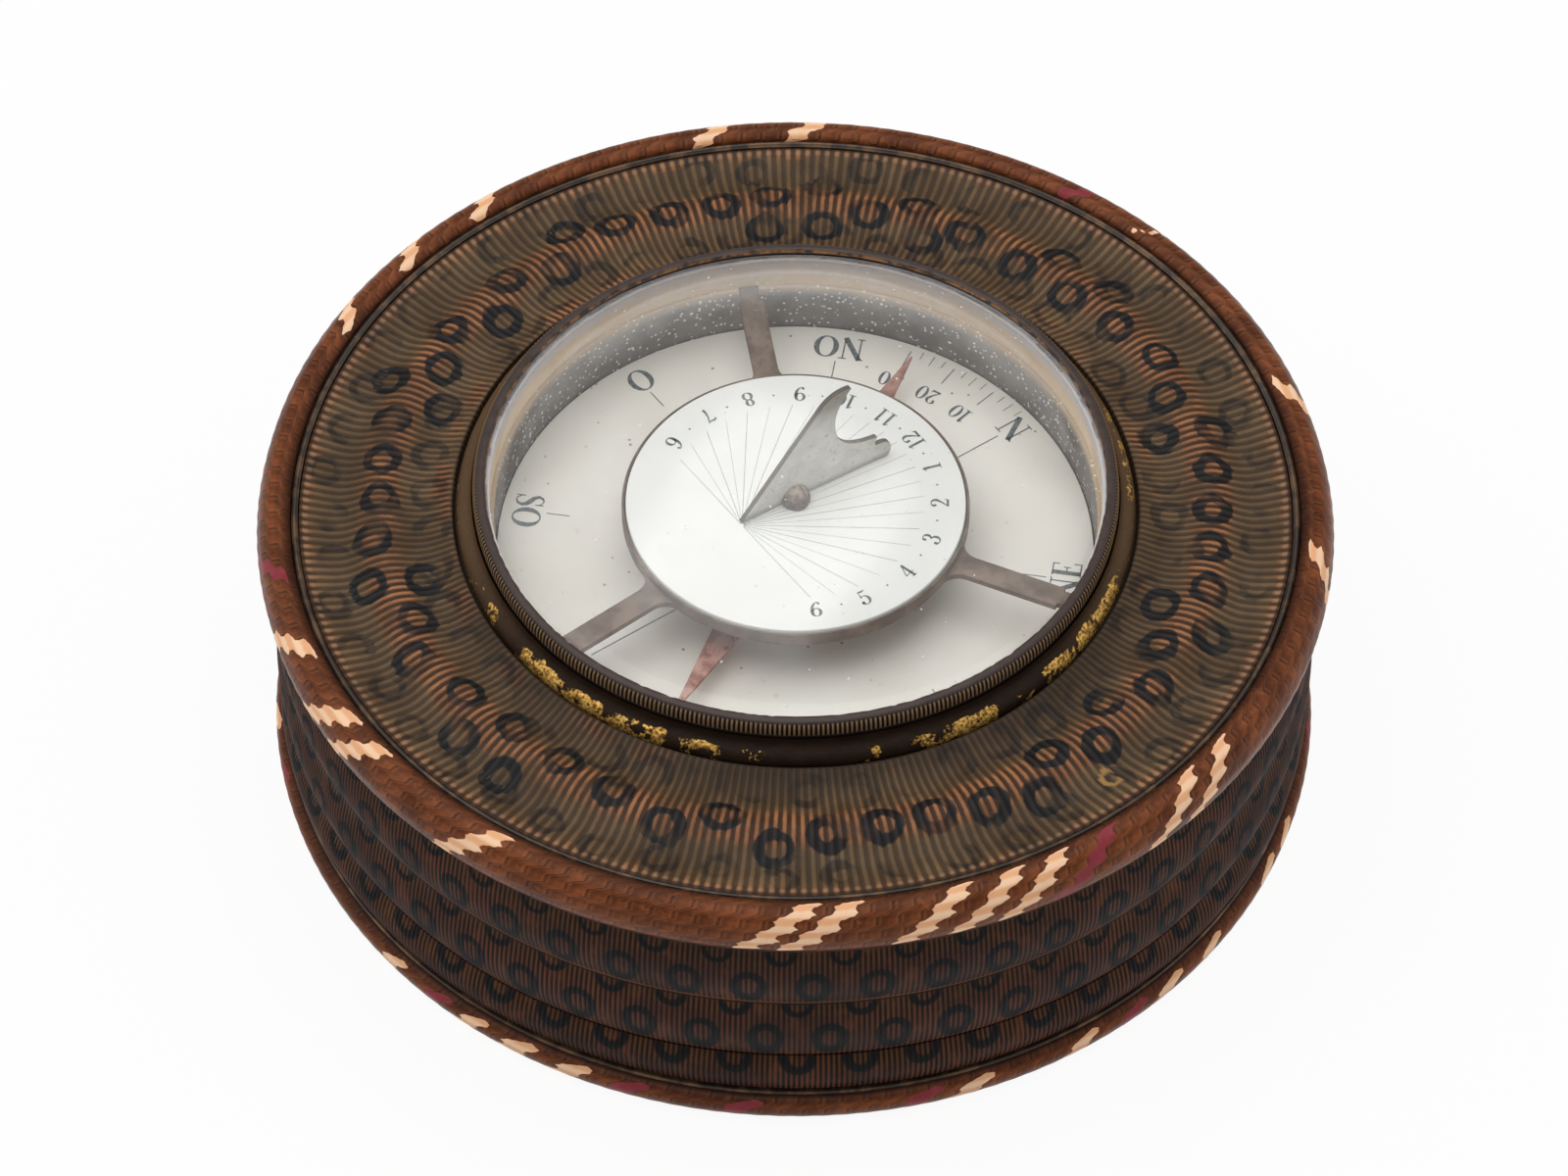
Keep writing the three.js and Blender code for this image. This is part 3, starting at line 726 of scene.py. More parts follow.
def bead_finish():
    f = Finish("striped bead")
    across = f.attribute("along")
    slant = f.attribute("slant")
    sway = (f.grain(0.7, 2.0) - 0.5) * 0.16
    cream = f.rise(f.attribute("cream") + sway, -0.05, 0.05)
    red = f.rise(f.attribute("red") + sway, -0.1, 0.1)
    cell = f.waves("SINE", slant * (TURN / SCALE_PITCH))
    row = f.waves("SINE", (across + sway) * (TURN / STEP_RUN))
    cloud = f.grain(4.0, 3.0)
    fleck = f.grain(0.8, 3.0, seed=6.0)
    edge = abs(f.math("FRACT", slant * (1 / SCALE_PITCH)) - 0.5) * SCALE_PITCH
    cut = f.rise(edge, SCALE_PITCH / 2 - 0.13, SCALE_PITCH / 2 - 0.06)
    glint = f.between(edge, SCALE_PITCH / 2 - 0.34, SCALE_PITCH / 2 - 0.14, 0.05)
    ivory = f.mottle(row + (fleck - 0.5) * 0.6, 0.1, 0.9, (244, 204, 168), (230, 172, 128))
    relief = row * 0.35 + cell * 0.2 + fleck * 0.3 - cut * 0.35
    tone = f.coats(
        f.mottle(cloud, 0.34, 0.66, (92, 48, 26), (128, 71, 40)),
        (f.rise(cell + (fleck - 0.5) * 0.8, 0.3, 0.95) * 0.42, (66, 34, 20)),
        (f.rise(row, 0.55, 1.0) * 0.34, (54, 26, 16)),
        (f.rise(fleck, 0.56, 0.7) * 0.3, (156, 92, 54)),
        (f.rise(f.grain(0.5, 2.0, seed=8.0), 0.6, 0.68) * 0.4, (40, 21, 14)),
        (cut * 0.42, (42, 22, 14)),
        (glint * 0.1, (182, 120, 76)),
        # painted shade from the shade mark
        (f.attribute("shade") * 0.75, (34, 18, 12)),
        (red * 0.95, f.blend(fleck, (116, 34, 42), (150, 66, 74))),
        (cream, ivory))
    return f.dress(tone, 0.28 + fleck * 0.16, (relief, 0.06, 0.55), shine=0.1)


def gilt_finish():
    f = Finish("worn gilding")
    wear = f.grain(2.4, 4.0) * 0.45 + f.grain(0.8, 4.0, seed=8.0) * 0.35
    wear = wear + f.grain(0.3, 3.0, seed=3.0) * 0.2
    leaf = f.rise(f.attribute("gilt") - wear, -0.015, 0.02)
    fine = f.grain(0.22, 3.0, seed=5.0)
    gold = f.mottle(fine, 0.35, 0.65, (112, 74, 28), (222, 178, 96))
    ground = f.blend(f.grain(1.2, 3.0), (22, 14, 9), (46, 31, 21))
    # painted sheen: the ground turns lighter and warmer away from the front
    ground = f.blend(f.rise(f.y, -19.0, -2.0) * (fine * 0.5 + 0.5), ground, (98, 75, 52))
    tone = f.blend(leaf, ground, gold)
    return f.dress(tone, 0.5 - leaf * 0.12, (leaf * 0.5 + fine * 0.8, 0.08, 0.9), metallic=leaf * 0.55,
                   shine=0.1)


def string_finish():
    f = Finish("thin gilt line")
    wear = f.grain(1.5, 3.0)
    bright = f.rise(wear, 0.45, 0.65)
    tone = f.blend(bright, (48, 35, 26), (108, 84, 62))
    return f.dress(tone, 0.4, (f.grain(0.2), 0.02, 0.4), metallic=bright * 0.4)


def bronze_finish():
    f = Finish("dark bronze")
    z, radius = f.z, f.radius()
    worn = f.grain(1.2, 3.0)
    tips = f.waves("COSINE", f.azimuth() * BEZEL_REEDS)
    milled = f.between(z, 26.5, 27.5, 0.05) * f.rise(radius, 24.72, 24.84)
    chip = f.rise(f.grain(0.8, 3.0, seed=4.0), 0.4, 0.56) * (1 - f.rise(radius, 24.02, 24.14))
    tone = f.coats(
        f.blend(worn, (48, 37, 34), (77, 64, 59)),
        (milled, f.mottle(tips, 0.35, 0.8, (26, 18, 13), (152, 123, 92))),
        # painted shade at the foot of the bezel, below its milled edge
        ((1 - f.rise(z, 26.2, 26.5)) * 0.8, (26, 16, 12)),
        (chip * f.rise(z, 27.3, 27.5), (165, 114, 64)))
    return f.dress(tone, 0.36 + worn * 0.2, (worn, 0.02, 0.4), metallic=0.3, shine=0.4)


def cup_metal_finish():
    f = Finish("dull grey brass")
    stain = f.grain(2.0, 4.0)
    brushed = f.grain(0.5, 3.0, (1.0, 1.0, 4.0), 5.0)
    tone = f.mottle(stain, 0.35, 0.65, (101, 83, 72), (135, 117, 104))
    tone = f.blend(f.rise(brushed, 0.5, 0.7) * 0.35, tone, (67, 55, 49))
    return f.dress(tone, 0.42 + stain * 0.2, (brushed, 0.02, 0.5), metallic=0.35)


def silver_finish():
    f = Finish("dull silvered plate")
    stain = f.grain(1.6, 4.0)
    scratch = f.grain(0.35, 3.0, (1.0, 1.0, 3.0), 2.0)
    brown = f.most(f.rise(f.z, 31.5, 34.4), 1 - f.rise(f.z, 24.9, 25.6))
    tone = f.coats(
        f.mottle(stain, 0.3, 0.7, (204, 203, 197), (222, 222, 216)),
        (f.rise(scratch, 0.5, 0.74) * 0.3, (150, 138, 130)),
        (brown * (stain * 0.5 + 0.25), (108, 84, 72)),
        (f.rise(f.grain(0.28, 2.0, seed=9.0), 0.62, 0.7) * 0.5, (96, 78, 66)),
        (f.attribute("edge") * 0.85, (74, 56, 46)))
    return f.dress(tone, 0.42 + stain * 0.2, (scratch, 0.02, 0.5), metallic=0.3)


def solder_finish():
    f = Finish("soldered boss")
    lump = f.grain(0.5, 3.0)
    tone = f.mottle(lump, 0.35, 0.65, (120, 100, 90), (178, 162, 150))
    tone = f.blend(f.rise(f.radius(), 0.82, 1.1) * 0.7, tone, (66, 48, 40))
    return f.dress(tone, 0.4 + lump * 0.15, (lump, 0.06, 0.7), metallic=0.5)


def needle_finish():
    f = Finish("rusted blued steel")
    rust = f.grain(1.3, 4.0)
    pit = f.grain(0.3, 3.0, seed=4.0)
    tone = f.mottle(rust, 0.35, 0.65, (148, 102, 92), (194, 152, 140))
    tone = f.blend(f.rise(pit, 0.56, 0.7) * 0.6, tone, (104, 63, 54))
    return f.dress(tone, 0.5 + pit * 0.2, (pit, 0.03, 0.7), metallic=0.4)


def plain_metal(name, dark, light, metallic, roughness):
    f = Finish(name)
    wear = f.grain(0.6, 3.0)
    return f.dress(f.blend(wear, dark, light), wear * 0.15 + roughness, (f.grain(0.2), 0.01, 0.4),
                   metallic=metallic)


def wall_dust_finish():
    f = Finish("grey dusty well wall")
    stain = f.grain(3.0, 4.0)
    fine = f.grain(0.6, 3.0, seed=6.0)
    dust = 1 - f.rise(f.cells(1.9) + (0.5 - fine) * 0.5, 0.14, 0.26)
    tone = f.coats(
        f.mottle(stain, 0.35, 0.65, (112, 106, 102), (146, 140, 136)),
        (f.rise(f.z, 22.9, 24.0) * 0.7, (222, 198, 166)),
        (dust, (246, 243, 240)))
    return f.dress(tone, 0.7 + dust * 0.2, (f.grain(0.5, 3.0), 0.04, 0.5), metallic=0.15)


def cream_finish():
    f = Finish("cream seat ring")
    stain = f.grain(2.5, 4.0)
    tone = f.coats(
        f.mottle(stain, 0.35, 0.65, (244, 216, 180), (250, 228, 198)),
        # painted highlight: the upper part of the seat ring turns silvery white
        (f.rise(f.z, 25.2, 26.3), (240, 236, 238)),
        (f.rise(f.grain(0.7, 3.0, seed=2.0), 0.6, 0.7) * 0.2, (196, 164, 130)))
    return f.dress(tone, 0.5 + stain * 0.1, (stain, 0.03, 0.4))


def card_finish():
    f = Finish("aged card")
    cloud = f.grain(9.0, 4.0)
    fibre = f.grain(0.25, 3.0, seed=4.0)
    foxing = f.rise(f.grain(1.1, 4.0, seed=8.0), 0.66, 0.74)
    speck = (1 - f.rise(f.cells(0.55), 0.05, 0.09)) * f.rise(f.grain(3.0, 2.0, seed=12.0), 0.42, 0.5)
    tone = f.coats(
        f.mottle(cloud, 0.3, 0.7, (238, 234, 226), (248, 245, 239)),
        (f.rise(f.radius(), 17.0, 23.4) * 0.25, (208, 200, 188)),
        (foxing * 0.25, (196, 178, 150)),
        (speck * 0.7, (120, 100, 88)))
    return f.dress(tone, 0.72 + fibre * 0.1, (fibre, 0.02, 0.5))


def enamel_finish():
    f = Finish("white enamel")
    cloud = f.grain(7.0, 3.0)
    speck = f.rise(f.grain(0.3, 1.0, seed=3.0), 0.77, 0.8)
    stain = f.rise(f.grain(2.0, 4.0, seed=6.0), 0.66, 0.76)
    tone = f.coats(
        f.mottle(cloud, 0.3, 0.7, (240, 240, 236), (247, 247, 244)),
        (stain * 0.2, (214, 208, 196)),
        (speck * 0.7, (150, 140, 130)))
    return f.dress(tone, 0.26 + cloud * 0.08, (f.grain(1.5, 2.0), 0.02, 0.3))


def ink_finish(name, pale, deep):
    f = Finish(name)
    wear = f.grain(0.3, 3.0)
    return f.dress(f.mottle(wear, 0.35, 0.65, deep, pale), 0.6 + wear * 0.1)


def glass_finish():
    """Clear glass with a shine that depends on the slant, and flecks of dust towards the far side."""
    f = Finish("clear glass")
    back = f.add("ShaderNodeNewGeometry", output="Backfacing")
    bend = f.add("ShaderNodeFresnel", inputs={"IOR": 1.5 + back * (1 / 1.5 - 1.5)})
    clear = f.add("ShaderNodeBsdfTransparent", inputs={"Color": (0.985, 0.988, 0.985, 1)})
    f.dress((1, 1, 1, 1), 0.2, metallic=1.0)
    glass = f.mixed(bend, clear, Wire(f, f.shader.outputs[0]))
    drift = f.most(f.rise(f.grain(5.0, 2.0, seed=2.0), 0.52, 0.6), f.rise(f.y, 8.0, 14.0) * 0.9)
    speck = 1 - f.rise(f.cells(0.8), 0.06, 0.1)
    dust = f.add("ShaderNodeBsdfDiffuse", inputs={"Color": display(236, 232, 228)})
    return f.surface(f.mixed(speck * drift * 0.8, glass, dust))


# Base of the box: wall band, bead, gilt line and the hollow with its lining


def base_pieces(shell, wall, bead, line, lining):
    foot = 2.95
    rim = [(NECK_RADIUS, foot), (40.4, foot)] + band(foot, SEAM - 0.05, 12)
    rim += [(40.3, SEAM), (NECK_RADIUS, SEAM)]
    bm = spun(rim, WALL_RIDGES * 4)
    moved(bm, wall_ridge)
    piece("base_band", bm, wall, "base")
    body = [(0, 0), (39.3, 0), (39.6, 0.15), (39.6, 2.9), (NECK_RADIUS, 2.9), (NECK_RADIUS, 13.95),
            (37.1, 14.15), (36.1, 14.15), (36, 14.05), (36, BOX_FLOOR), (0, BOX_FLOOR)]
    piece("base_body", spun(body, 200, closed=False), shell, "base", ("base_shell",))
    swell = [(40.2, 0.02), (40.8, 0.0), (41.45, 0.5), (41.7, 1.35), (41.5, 2.05), (40.95, 2.38),
             (40.3, 2.4)]
    bm = striped_bead([(39.65, 0.12)] + spaced(softened(swell), 15) + [(39.65, 2.4)], 1800, BASE_STRIPES)
    piece("base_foot_bead", bm, bead, "base", ("base_bead",))
    string = [(39.7, 2.42), (40.6, 2.42), (40.78, 2.48), (40.8, 2.6), (40.7, 2.74), (39.7, 2.75)]
    piece("base_gilt_line", spun(string, 256), line, "base", ("base_string",))
    tray = [(0, BOX_FLOOR), (35.9, BOX_FLOOR), (35.9, 14.05), (35.8, 14.15), (35.5, 14.15), (35.4, 14.05),
            (35.4, 2.6), (35.2, 2.2), (34.8, 2.1), (0, 2.1)]
    piece("base_lining", spun(tray, 200, closed=False), lining, "base",
          ("compartment_lining",))


# Stripes of the beads: azimuth in degrees where a stripe crosses the bead's widest line, and its share
# of the full width. "half" is half that width, and "widest" is the line's radius and its place along
# the outline. "ripple" is how deep the pattern is cut, and "lean" the way the stripes slant. "clear" is
# the middle of the striped part along the outline, half its width, and how much further in it reaches
# on the far side.

LID_STRIPES = {
    "cream": [
        (97.4, 1.0), (86.2, 1.0), (126.7, 1.0), (138.2, 1.0), (150.0, 1.0), (14.4, 1.0), (350.3, 1.0),
        (200.7, 1.0), (211.6, 1.05), (217.2, 1.0), (234.8, 1.0), (269.1, 1.0), (273.6, 1.0), (285.4, 1.0),
        (291.3, 1.0), (296.7, 1.0), (314.6, 0.95), (320.2, 0.95), (43.1, 0.25),
    ],
    "red": [(189.7, 0.9), (53.0, 0.9), (302.9, 1.0)],
    "half": 0.93, "widest": (41.9, 2.6), "ripple": 0.06, "clear": (3.3, 2.1, 0.5), "lean": 1,
}
BASE_STRIPES = {
    "cream": [
        (183.4, 1.0), (220.9, 0.8), (232.8, 0.8), (238.7, 1.0), (245.3, 0.9), (289.1, 0.9), (302.0, 0.8),
        (314.1, 0.9), (321.0, 0.8), (333.3, 0.9), (338.7, 0.9), (1.5, 0.8), (24.0, 0.9), (58.0, 0.9),
        (64.5, 0.8), (96.0, 0.9), (121.0, 0.9), (127.5, 0.8), (156.0, 0.9),
    ],
    "red": [
        (191.2, 0.9), (227.7, 0.9), (251.7, 1.0), (263.9, 1.0), (283.3, 1.0), (308.7, 0.9), (352.7, 0.9),
        (40.0, 0.9), (110.0, 0.9),
    ],
    "half": 1.116, "widest": (41.7, 2.4), "ripple": 0.04, "clear": (2.15, 1.4, 0.0), "lean": -1,
}


def striped_bead(outline, steps, stripes):
    """A turned bead with slanting cream and red stripes, kept as distances on its vertices."""
    bm = spun(outline, steps)
    radius, widest = stripes["widest"]
    middle, reach, far_side = stripes["clear"]
    turn = TURN * radius

    def stepped(along):
        """How far a stripe has moved round the bead at a place along the outline, in wavy steps."""
        wavy = along + STEP_RUN * 0.22 * math.sin(TURN * along / STEP_RUN)
        return stripes["lean"] * STEP_SLOPE * wavy

    def slant(azimuth, _radius, _height, along):
        return azimuth * radius + stepped(along)

    def beyond(azimuth, along):
        """How far a spot lies outside the striped part."""
        far = far_side * max(0.0, math.sin(azimuth))
        return abs(along - middle + far) - reach - far

    # painted shade on the part of the bead outside the striped part, where its stripes fade too
    def shade(azimuth, _radius, _height, along):
        return min(1.0, max(0.0, beyond(azimuth, along) + 0.1) * 1.4)

    def inside(kind, factor):
        """How far a spot lies inside the nearest stripe, whose edges are wavy."""
        starts = [(math.radians(degrees) * radius + stepped(widest), share)
                  for degrees, share in stripes[kind]]

        def nearest(azimuth, _radius, _height, along):
            here = azimuth * radius + stepped(along)
            wave = 0.22 * math.sin(TURN * (along / STEP_RUN + 0.3)) + 0.06 * math.sin(here * 9.0)
            best = -3.0
            for start, share in starts:
                gap = abs((here - start + turn / 2) % turn - turn / 2)
                best = max(best, stripes["half"] * share * factor + wave * min(share, 1) - gap)
            return best - 3 * max(0.0, beyond(azimuth, along))
        return nearest

    def swell(azimuth, _radius, _height, along):
        lines = math.sin(TURN * along / STEP_RUN) * 0.5 + 0.5
        cells = math.sin(TURN * (azimuth * radius + stepped(along)) / SCALE_PITCH) * 0.5 + 0.5
        return -stripes["ripple"] * (lines + 0.6 * cells), 0.0

    mark(bm, "slant", slant)
    mark(bm, "shade", shade)
    mark(bm, "cream", inside("cream", 1.0))
    mark(bm, "red", inside("red", 0.9))
    moved(bm, swell)
    return bm


# Lid: wall bands, shell, bead, ridged top, gilt ring and bezel

FLANGE_TOP = spaced([FLANGE_POINTS[0]] + softened(FLANGE_POINTS[1:]), 46) + [(38.5, 24.47)]
FLANGE_TOP_LENGTH = sum(math.hypot(b[0] - a[0], b[1] - a[1]) for a, b in zip(FLANGE_TOP, FLANGE_TOP[1:]))


def flange_shift(azimuth, radius, _height, along):
    """Radial ridges on the top face, fading out at the flange's two edges, and slow swells."""
    if along > FLANGE_TOP_LENGTH + 0.01:
        return 0.0, 0.0
    fade = min(1.0, max(0.0, (38.36 - radius) / 0.2)) * min(1.0, max(0.0, (radius - 26.7) / 0.5))
    swell = FLANGE_SWELL * noise.noise(around(azimuth, radius * 0.12, 0.3))
    return 0.0, fade * (FLANGE_RIDGE_DEPTH * (math.cos(FLANGE_RIDGES * azimuth) - 1) / 2 + swell)


def flange_piece(finish):
    under = [(38.6, 24.4), (38.6, 23.7), (32.3, 24.0), (24.65, 23.4), (24.65, 24.25)]
    bm = spun(FLANGE_TOP + under, FLANGE_RIDGES * 6)

    def crest_line(azimuth, radius, _height, _along):
        return ring_line(azimuth, radius, CREST_RINGS, half_wide=1.22, half_high=1.15)

    def faint_line(azimuth, radius, _height, _along):
        return min(ring_line(azimuth, radius, OUTER_RINGS, half_wide=1.15, half_high=1.1),
                   ring_line(azimuth, radius, INNER_RINGS, half_wide=1.25, half_high=1.15))

    def scar_mark(azimuth, radius, _height, _along):
        """A small open ring scratched near the front of the edge."""
        along = math.radians(turn_gap(azimuth, 311.7)) * radius
        arc = abs(math.hypot(along, radius - 35.8) - 0.72)
        return 1.0 if arc < 0.2 and along < 0.45 else 0.0

    mark(bm, "ring", crest_line)
    mark(bm, "faint ring", faint_line)
    mark(bm, "scar", scar_mark)
    moved(bm, flange_shift)
    piece("ridged_top", bm, finish, "lid", ("ridged_flange",), crease=50)


# Stretches of the ring that keep their gilding: azimuth and half length in degrees, and how much is left

GILT_ARCS = [
    (200, 6, 0.46), (207.5, 2, 0.55), (231, 15, 0.6), (222, 6, 0.56), (244, 4, 0.58), (254.5, 4, 0.54),
    (263, 3, 0.48), (283, 1.5, 0.54), (299, 8, 0.54), (311, 4, 0.5), (321, 4, 0.54), (334, 8, 0.57),
    (348, 5, 0.5), (10, 13, 0.52), (60, 20, 0.44), (130, 25, 0.43), (175, 12, 0.45),
]


def gilt_level(azimuth, radius, _height, _along):
    """How much of the gilding is left: most on the outer swell, in some stretches of the ring."""
    level = 0.3
    for degrees, half, strength in GILT_ARCS:
        gap = abs(turn_gap(azimuth, degrees)) / half
        if gap < 1.6:
            fade = 1 - max(0.0, min(1.0, (gap - 0.8) / 0.8))
            level = max(level, 0.3 + (strength - 0.34) * fade)
    return level - 0.5 * max(0.0, 25.85 - radius)


def gilt_batter(azimuth, radius, height, _along):
    spot = around(azimuth, radius * 0.8, height)
    return 0.03 * noise.noise(spot), 0.04 * noise.noise(spot * 1.7) - 0.03


def lid_pieces(shell, wall, bead, line, lining):
    top = LID_BEAD_BOTTOM
    rim = [(SKIRT_RADIUS, LID_BOTTOM), (40.45, LID_BOTTOM)]
    rim += band(LID_BOTTOM + 0.03, LID_GROOVE - 0.04) + band(LID_GROOVE + 0.04, top - 0.5)
    rim += [(40.5, 20.25), (40.62, 20.3), (40.62, 20.5), (40.45, 20.58), (SKIRT_RADIUS, top)]
    bm = spun(rim, WALL_RIDGES * 4)
    moved(bm, wall_ridge)
    piece("lid_bands", bm, wall, "lid")
    core = [(0, CEILING), (SKIRT_RADIUS, CEILING), (SKIRT_RADIUS, top), (39.2, top), (39.2, 23.3),
            (38.5, 23.5), (32.3, 23.6), (24.6, 23.2), (24.5, 23.1), (24.5, WELL_FLOOR), (0, WELL_FLOOR)]
    piece("lid_body", spun(core, 200, closed=False), shell, "lid", ("lid_shell",))
    ceiling = [(0, 15.9), (37.3, 15.9), (37.45, 15.98), (37.5, CEILING), (0, CEILING)]
    piece("lid_ceiling", spun(ceiling, 200, closed=False), lining, "lid",
          ("ceiling_lining",))
    swell = [(39.3, 24.55), (39.45, 24.95), (39.9, 25.22), (40.5, 25.22), (41.1, 25.0), (41.62, 24.4),
             (41.93, 23.5), (41.97, 22.7), (41.75, 21.8), (41.35, 21.1), (40.8, 20.68), (40.3, 20.62)]
    bm = striped_bead(spaced(softened(swell), 27) + [(39.3, 20.65)], 2400, LID_STRIPES)
    piece("lid_top_bead", bm, bead, "lid", ("lid_bead",))
    string = [(38.7, 23.7), (39.2, 23.7), (39.2, 24.5), (39.16, 24.6), (39.1, 24.55), (39.06, 24.66),
              (38.98, 24.7), (38.88, 24.68), (38.8, 24.58), (38.7, 24.5)]
    piece("lid_gilt_line", spun(string, 360), line, "lid", ("lid_string",))


def gilt_piece(gilt):
    swell = [(25.24, 26.32), (25.27, 26.1), (25.35, 25.85), (25.52, 25.65), (25.75, 25.5),
             (26.0, 25.36), (26.22, 25.12), (26.35, 24.8), (26.4, 24.5)]
    ring = [(25.2, 24.3), (25.2, 26.3)] + spaced(softened(swell), 22) + [(26.38, 24.3)]
    bm = spun(ring, 900)
    mark(bm, "gilt", gilt_level)
    moved(bm, gilt_batter)
    piece("gilt_band", bm, gilt, "lid", ("gilt_ring",))


def bezel_piece(bronze):
    outer = [(24.02, 27.5), (24.1, 27.66), (24.3, 27.74), (24.55, 27.7), (24.72, 27.61), (24.86, 27.5),
             (24.97, 27.34), (25.04, 27.1), (25.08, 26.8), (25.08, 26.56), (25.02, 26.42), (25.0, 26.2),
             (25.05, 25.9), (25.06, 25.0), (25.1, 24.7), (25.1, 24.28)]
    inner = [(24.5, 24.28), (24.5, 27.2), (24.05, 27.28)]
    bm = spun(outer + inner, BEZEL_REEDS * 4)

    def mill(azimuth, radius, height, _along):
        """Reeds on the outer edge, and nicks in the inner one."""
        if 26.5 < height < 27.6 and radius > 24.75:
            depth = 0.06 * (math.cos(BEZEL_REEDS * azimuth) - 1)
            return depth, depth * 0.5
        if height > 27.3 and radius < 24.12:
            return max(0.0, noise.noise(around(azimuth, 40, 1.5))) * 0.12, 0.0
        return 0.0, 0.0

    moved(bm, mill)
    piece("glass_bezel", bm, bronze, "lid", ("milled_bezel",))


# Well: seat ring, wall with its notches, card and its print, glass


def well_pieces(cream, grey, card, ink, glass):
    seat = [(23.8, 24.0), (23.84, 23.96), (24.4, 23.96), (24.4, 26.78), (24.3, 26.85), (23.9, 26.85),
            (23.8, 26.75)]
    piece("glass_seat", spun(seat, 256), cream, "lid", ("glass_seat_ring",))
    side = [(23.5, WELL_FLOOR), (24.4, WELL_FLOOR), (24.4, WELL_LEDGE), (23.5, WELL_LEDGE)]
    crown = [(23.5, WELL_LEDGE), (24.4, WELL_LEDGE), (24.4, WELL_TOP), (23.56, WELL_TOP), (23.5, 23.89)]
    bm = spun(side, 256)
    # half a notch, as an angle at the middle of the wall
    notch = 0.8 / 23.9
    for start, end in arm_gaps():
        joined(bm, spun(crown, 84, start=start + notch, angle=end - start - 2 * notch))
    piece("well_side", bm, grey, "lid", ("well_wall",))
    face = [(0, 19.05), (23.35, 19.05), (23.4, 19.1), (23.4, 19.4), (23.35, CARD_TOP), (0, CARD_TOP)]
    piece("compass_face", spun(face, 220, closed=False), card, "lid", ("compass_card",))
    piece("compass_print", compass_print(), ink, "lid")
    rise = GLASS_TOP - GLASS_RIM
    outer = (rise ** 2 + GLASS_RADIUS ** 2) / (2 * rise)
    inner = outer - GLASS_THICKNESS
    centre = GLASS_TOP - outer

    def cap(reach, widest, steps=40):
        """An arc from the top of the dome down to its widest angle."""
        angles = [widest * step / steps for step in range(steps + 1)]
        return [(reach * math.sin(angle), centre + reach * math.cos(angle)) for angle in angles]

    dome = cap(inner, math.acos((GLASS_RIM - centre) / inner))
    dome += cap(outer, math.asin(GLASS_RADIUS / outer))[::-1]
    piece("glass_cover", spun(dome, 180, closed=False), glass, "lid", ("glass_dome",), crease=60)


def arm_gaps():
    """From each arm of the carrier to the next, in radians."""
    starts = [math.radians(degrees) for degrees in ARM_DEGREES]
    return zip(starts, starts[1:] + [starts[0] + TURN])


def compass_print():
    bm = bmesh.new()
    top = CARD_TOP + PRINT_LIFT
    for step, name in enumerate(("N", "NO", "O", "SO", "S", "SE", "E", "NE")):
        words(bm, name, NOON + 45 * step, radius=21.35, size=2.3, height=top, wide=0.98)
    for step in (1, 2, 3, 5, 6, 7):
        ray(bm, NOON + 45 * step, inner=18.0, outer=19.85, width=0.09, height=top)
    ray(bm, NOON, inner=14.2, outer=19.85, width=0.1, height=top)
    ray(bm, NOON + 180, inner=11.0, outer=19.4, width=0.1, height=top)
    for step in range(1, 13):
        tens = step % 4 == 0
        inner = 20.8 if tens else 21.9 if step % 2 == 0 else 22.2
        ray(bm, NOON + 2.5 * step, inner, 22.7 if tens else 23.0, 0.09 if tens else 0.07, top)
    for text, degrees in (("10", 47.1), ("20", 56.9), ("30", 67.0)):
        words(bm, text, degrees, radius=19.15, size=1.5, height=top)
    return bm


# Sundial: carrier with three arms, enamelled plate and its print, boss and shadow plate


def carrier_piece(metal):
    """A disc with three filleted arms, each ending in a narrower tab, and the rim of the cup."""
    arm_reach, tab_reach, half, half_tab, fillet, disc = 22.3, 24.0, 1.0, 0.7, 1.5, 13.55
    swing = math.asin((half + fillet) / (disc + fillet))
    reach = math.sqrt((disc + fillet) ** 2 - (half + fillet) ** 2)
    quarter = math.pi / 2
    points = []
    for start, end in arm_gaps():
        out = toward(start)
        side = Vector((-out.y, out.x))
        centre = out * reach - side * (half + fillet)
        points += [centre + toward(start - swing + math.pi + (swing - quarter) * step / 8, fillet)
                   for step in range(9)]
        tab = ((arm_reach, half), (arm_reach, half_tab), (tab_reach, half_tab))
        points += [out * along - side * across for along, across in tab]
        points += [out * along + side * across for along, across in tab[::-1]]
        centre = out * reach + side * (half + fillet)
        points += [centre + toward(start - quarter - (quarter - swing) * step / 8, fillet)
                   for step in range(9)]
        points += [toward(start + swing + (end - start - 2 * swing) * step / 40, disc)
                   for step in range(1, 40)]
    bm = plate([(point.x, point.y, 23.35) for point in points], Vector((0, 0, 0.58)), 0.1)
    piece("dial_arms", bm, metal, "lid", ("dial_carrier",))
    cup = [(13.35, 23.4), (13.55, 23.4), (13.55, 24.48), (13.5, 24.55), (13.4, 24.55), (13.35, 24.48)]
    piece("dial_cup_rim", spun(cup, 256), metal, "lid")


# The dial: azimuth of each numeral, the latitude it is laid out for, the point where the hour lines
# meet, and how far from the axis they end

HOUR_MARKS = [
    ("6", 148.6), ("7", 128.7), ("8", 109.9), ("9", 88.8), ("10", 70.0), ("11", 51.3), ("12", 34.8),
    ("1", 18.4), ("2", 359.5), ("3", 340.2), ("4", 320.3), ("5", 298.6), ("6", 278.5),
]
LATITUDE = 48.85
FOOT = Vector((-4.15, -2.6))
LINE_REACH = 10.0


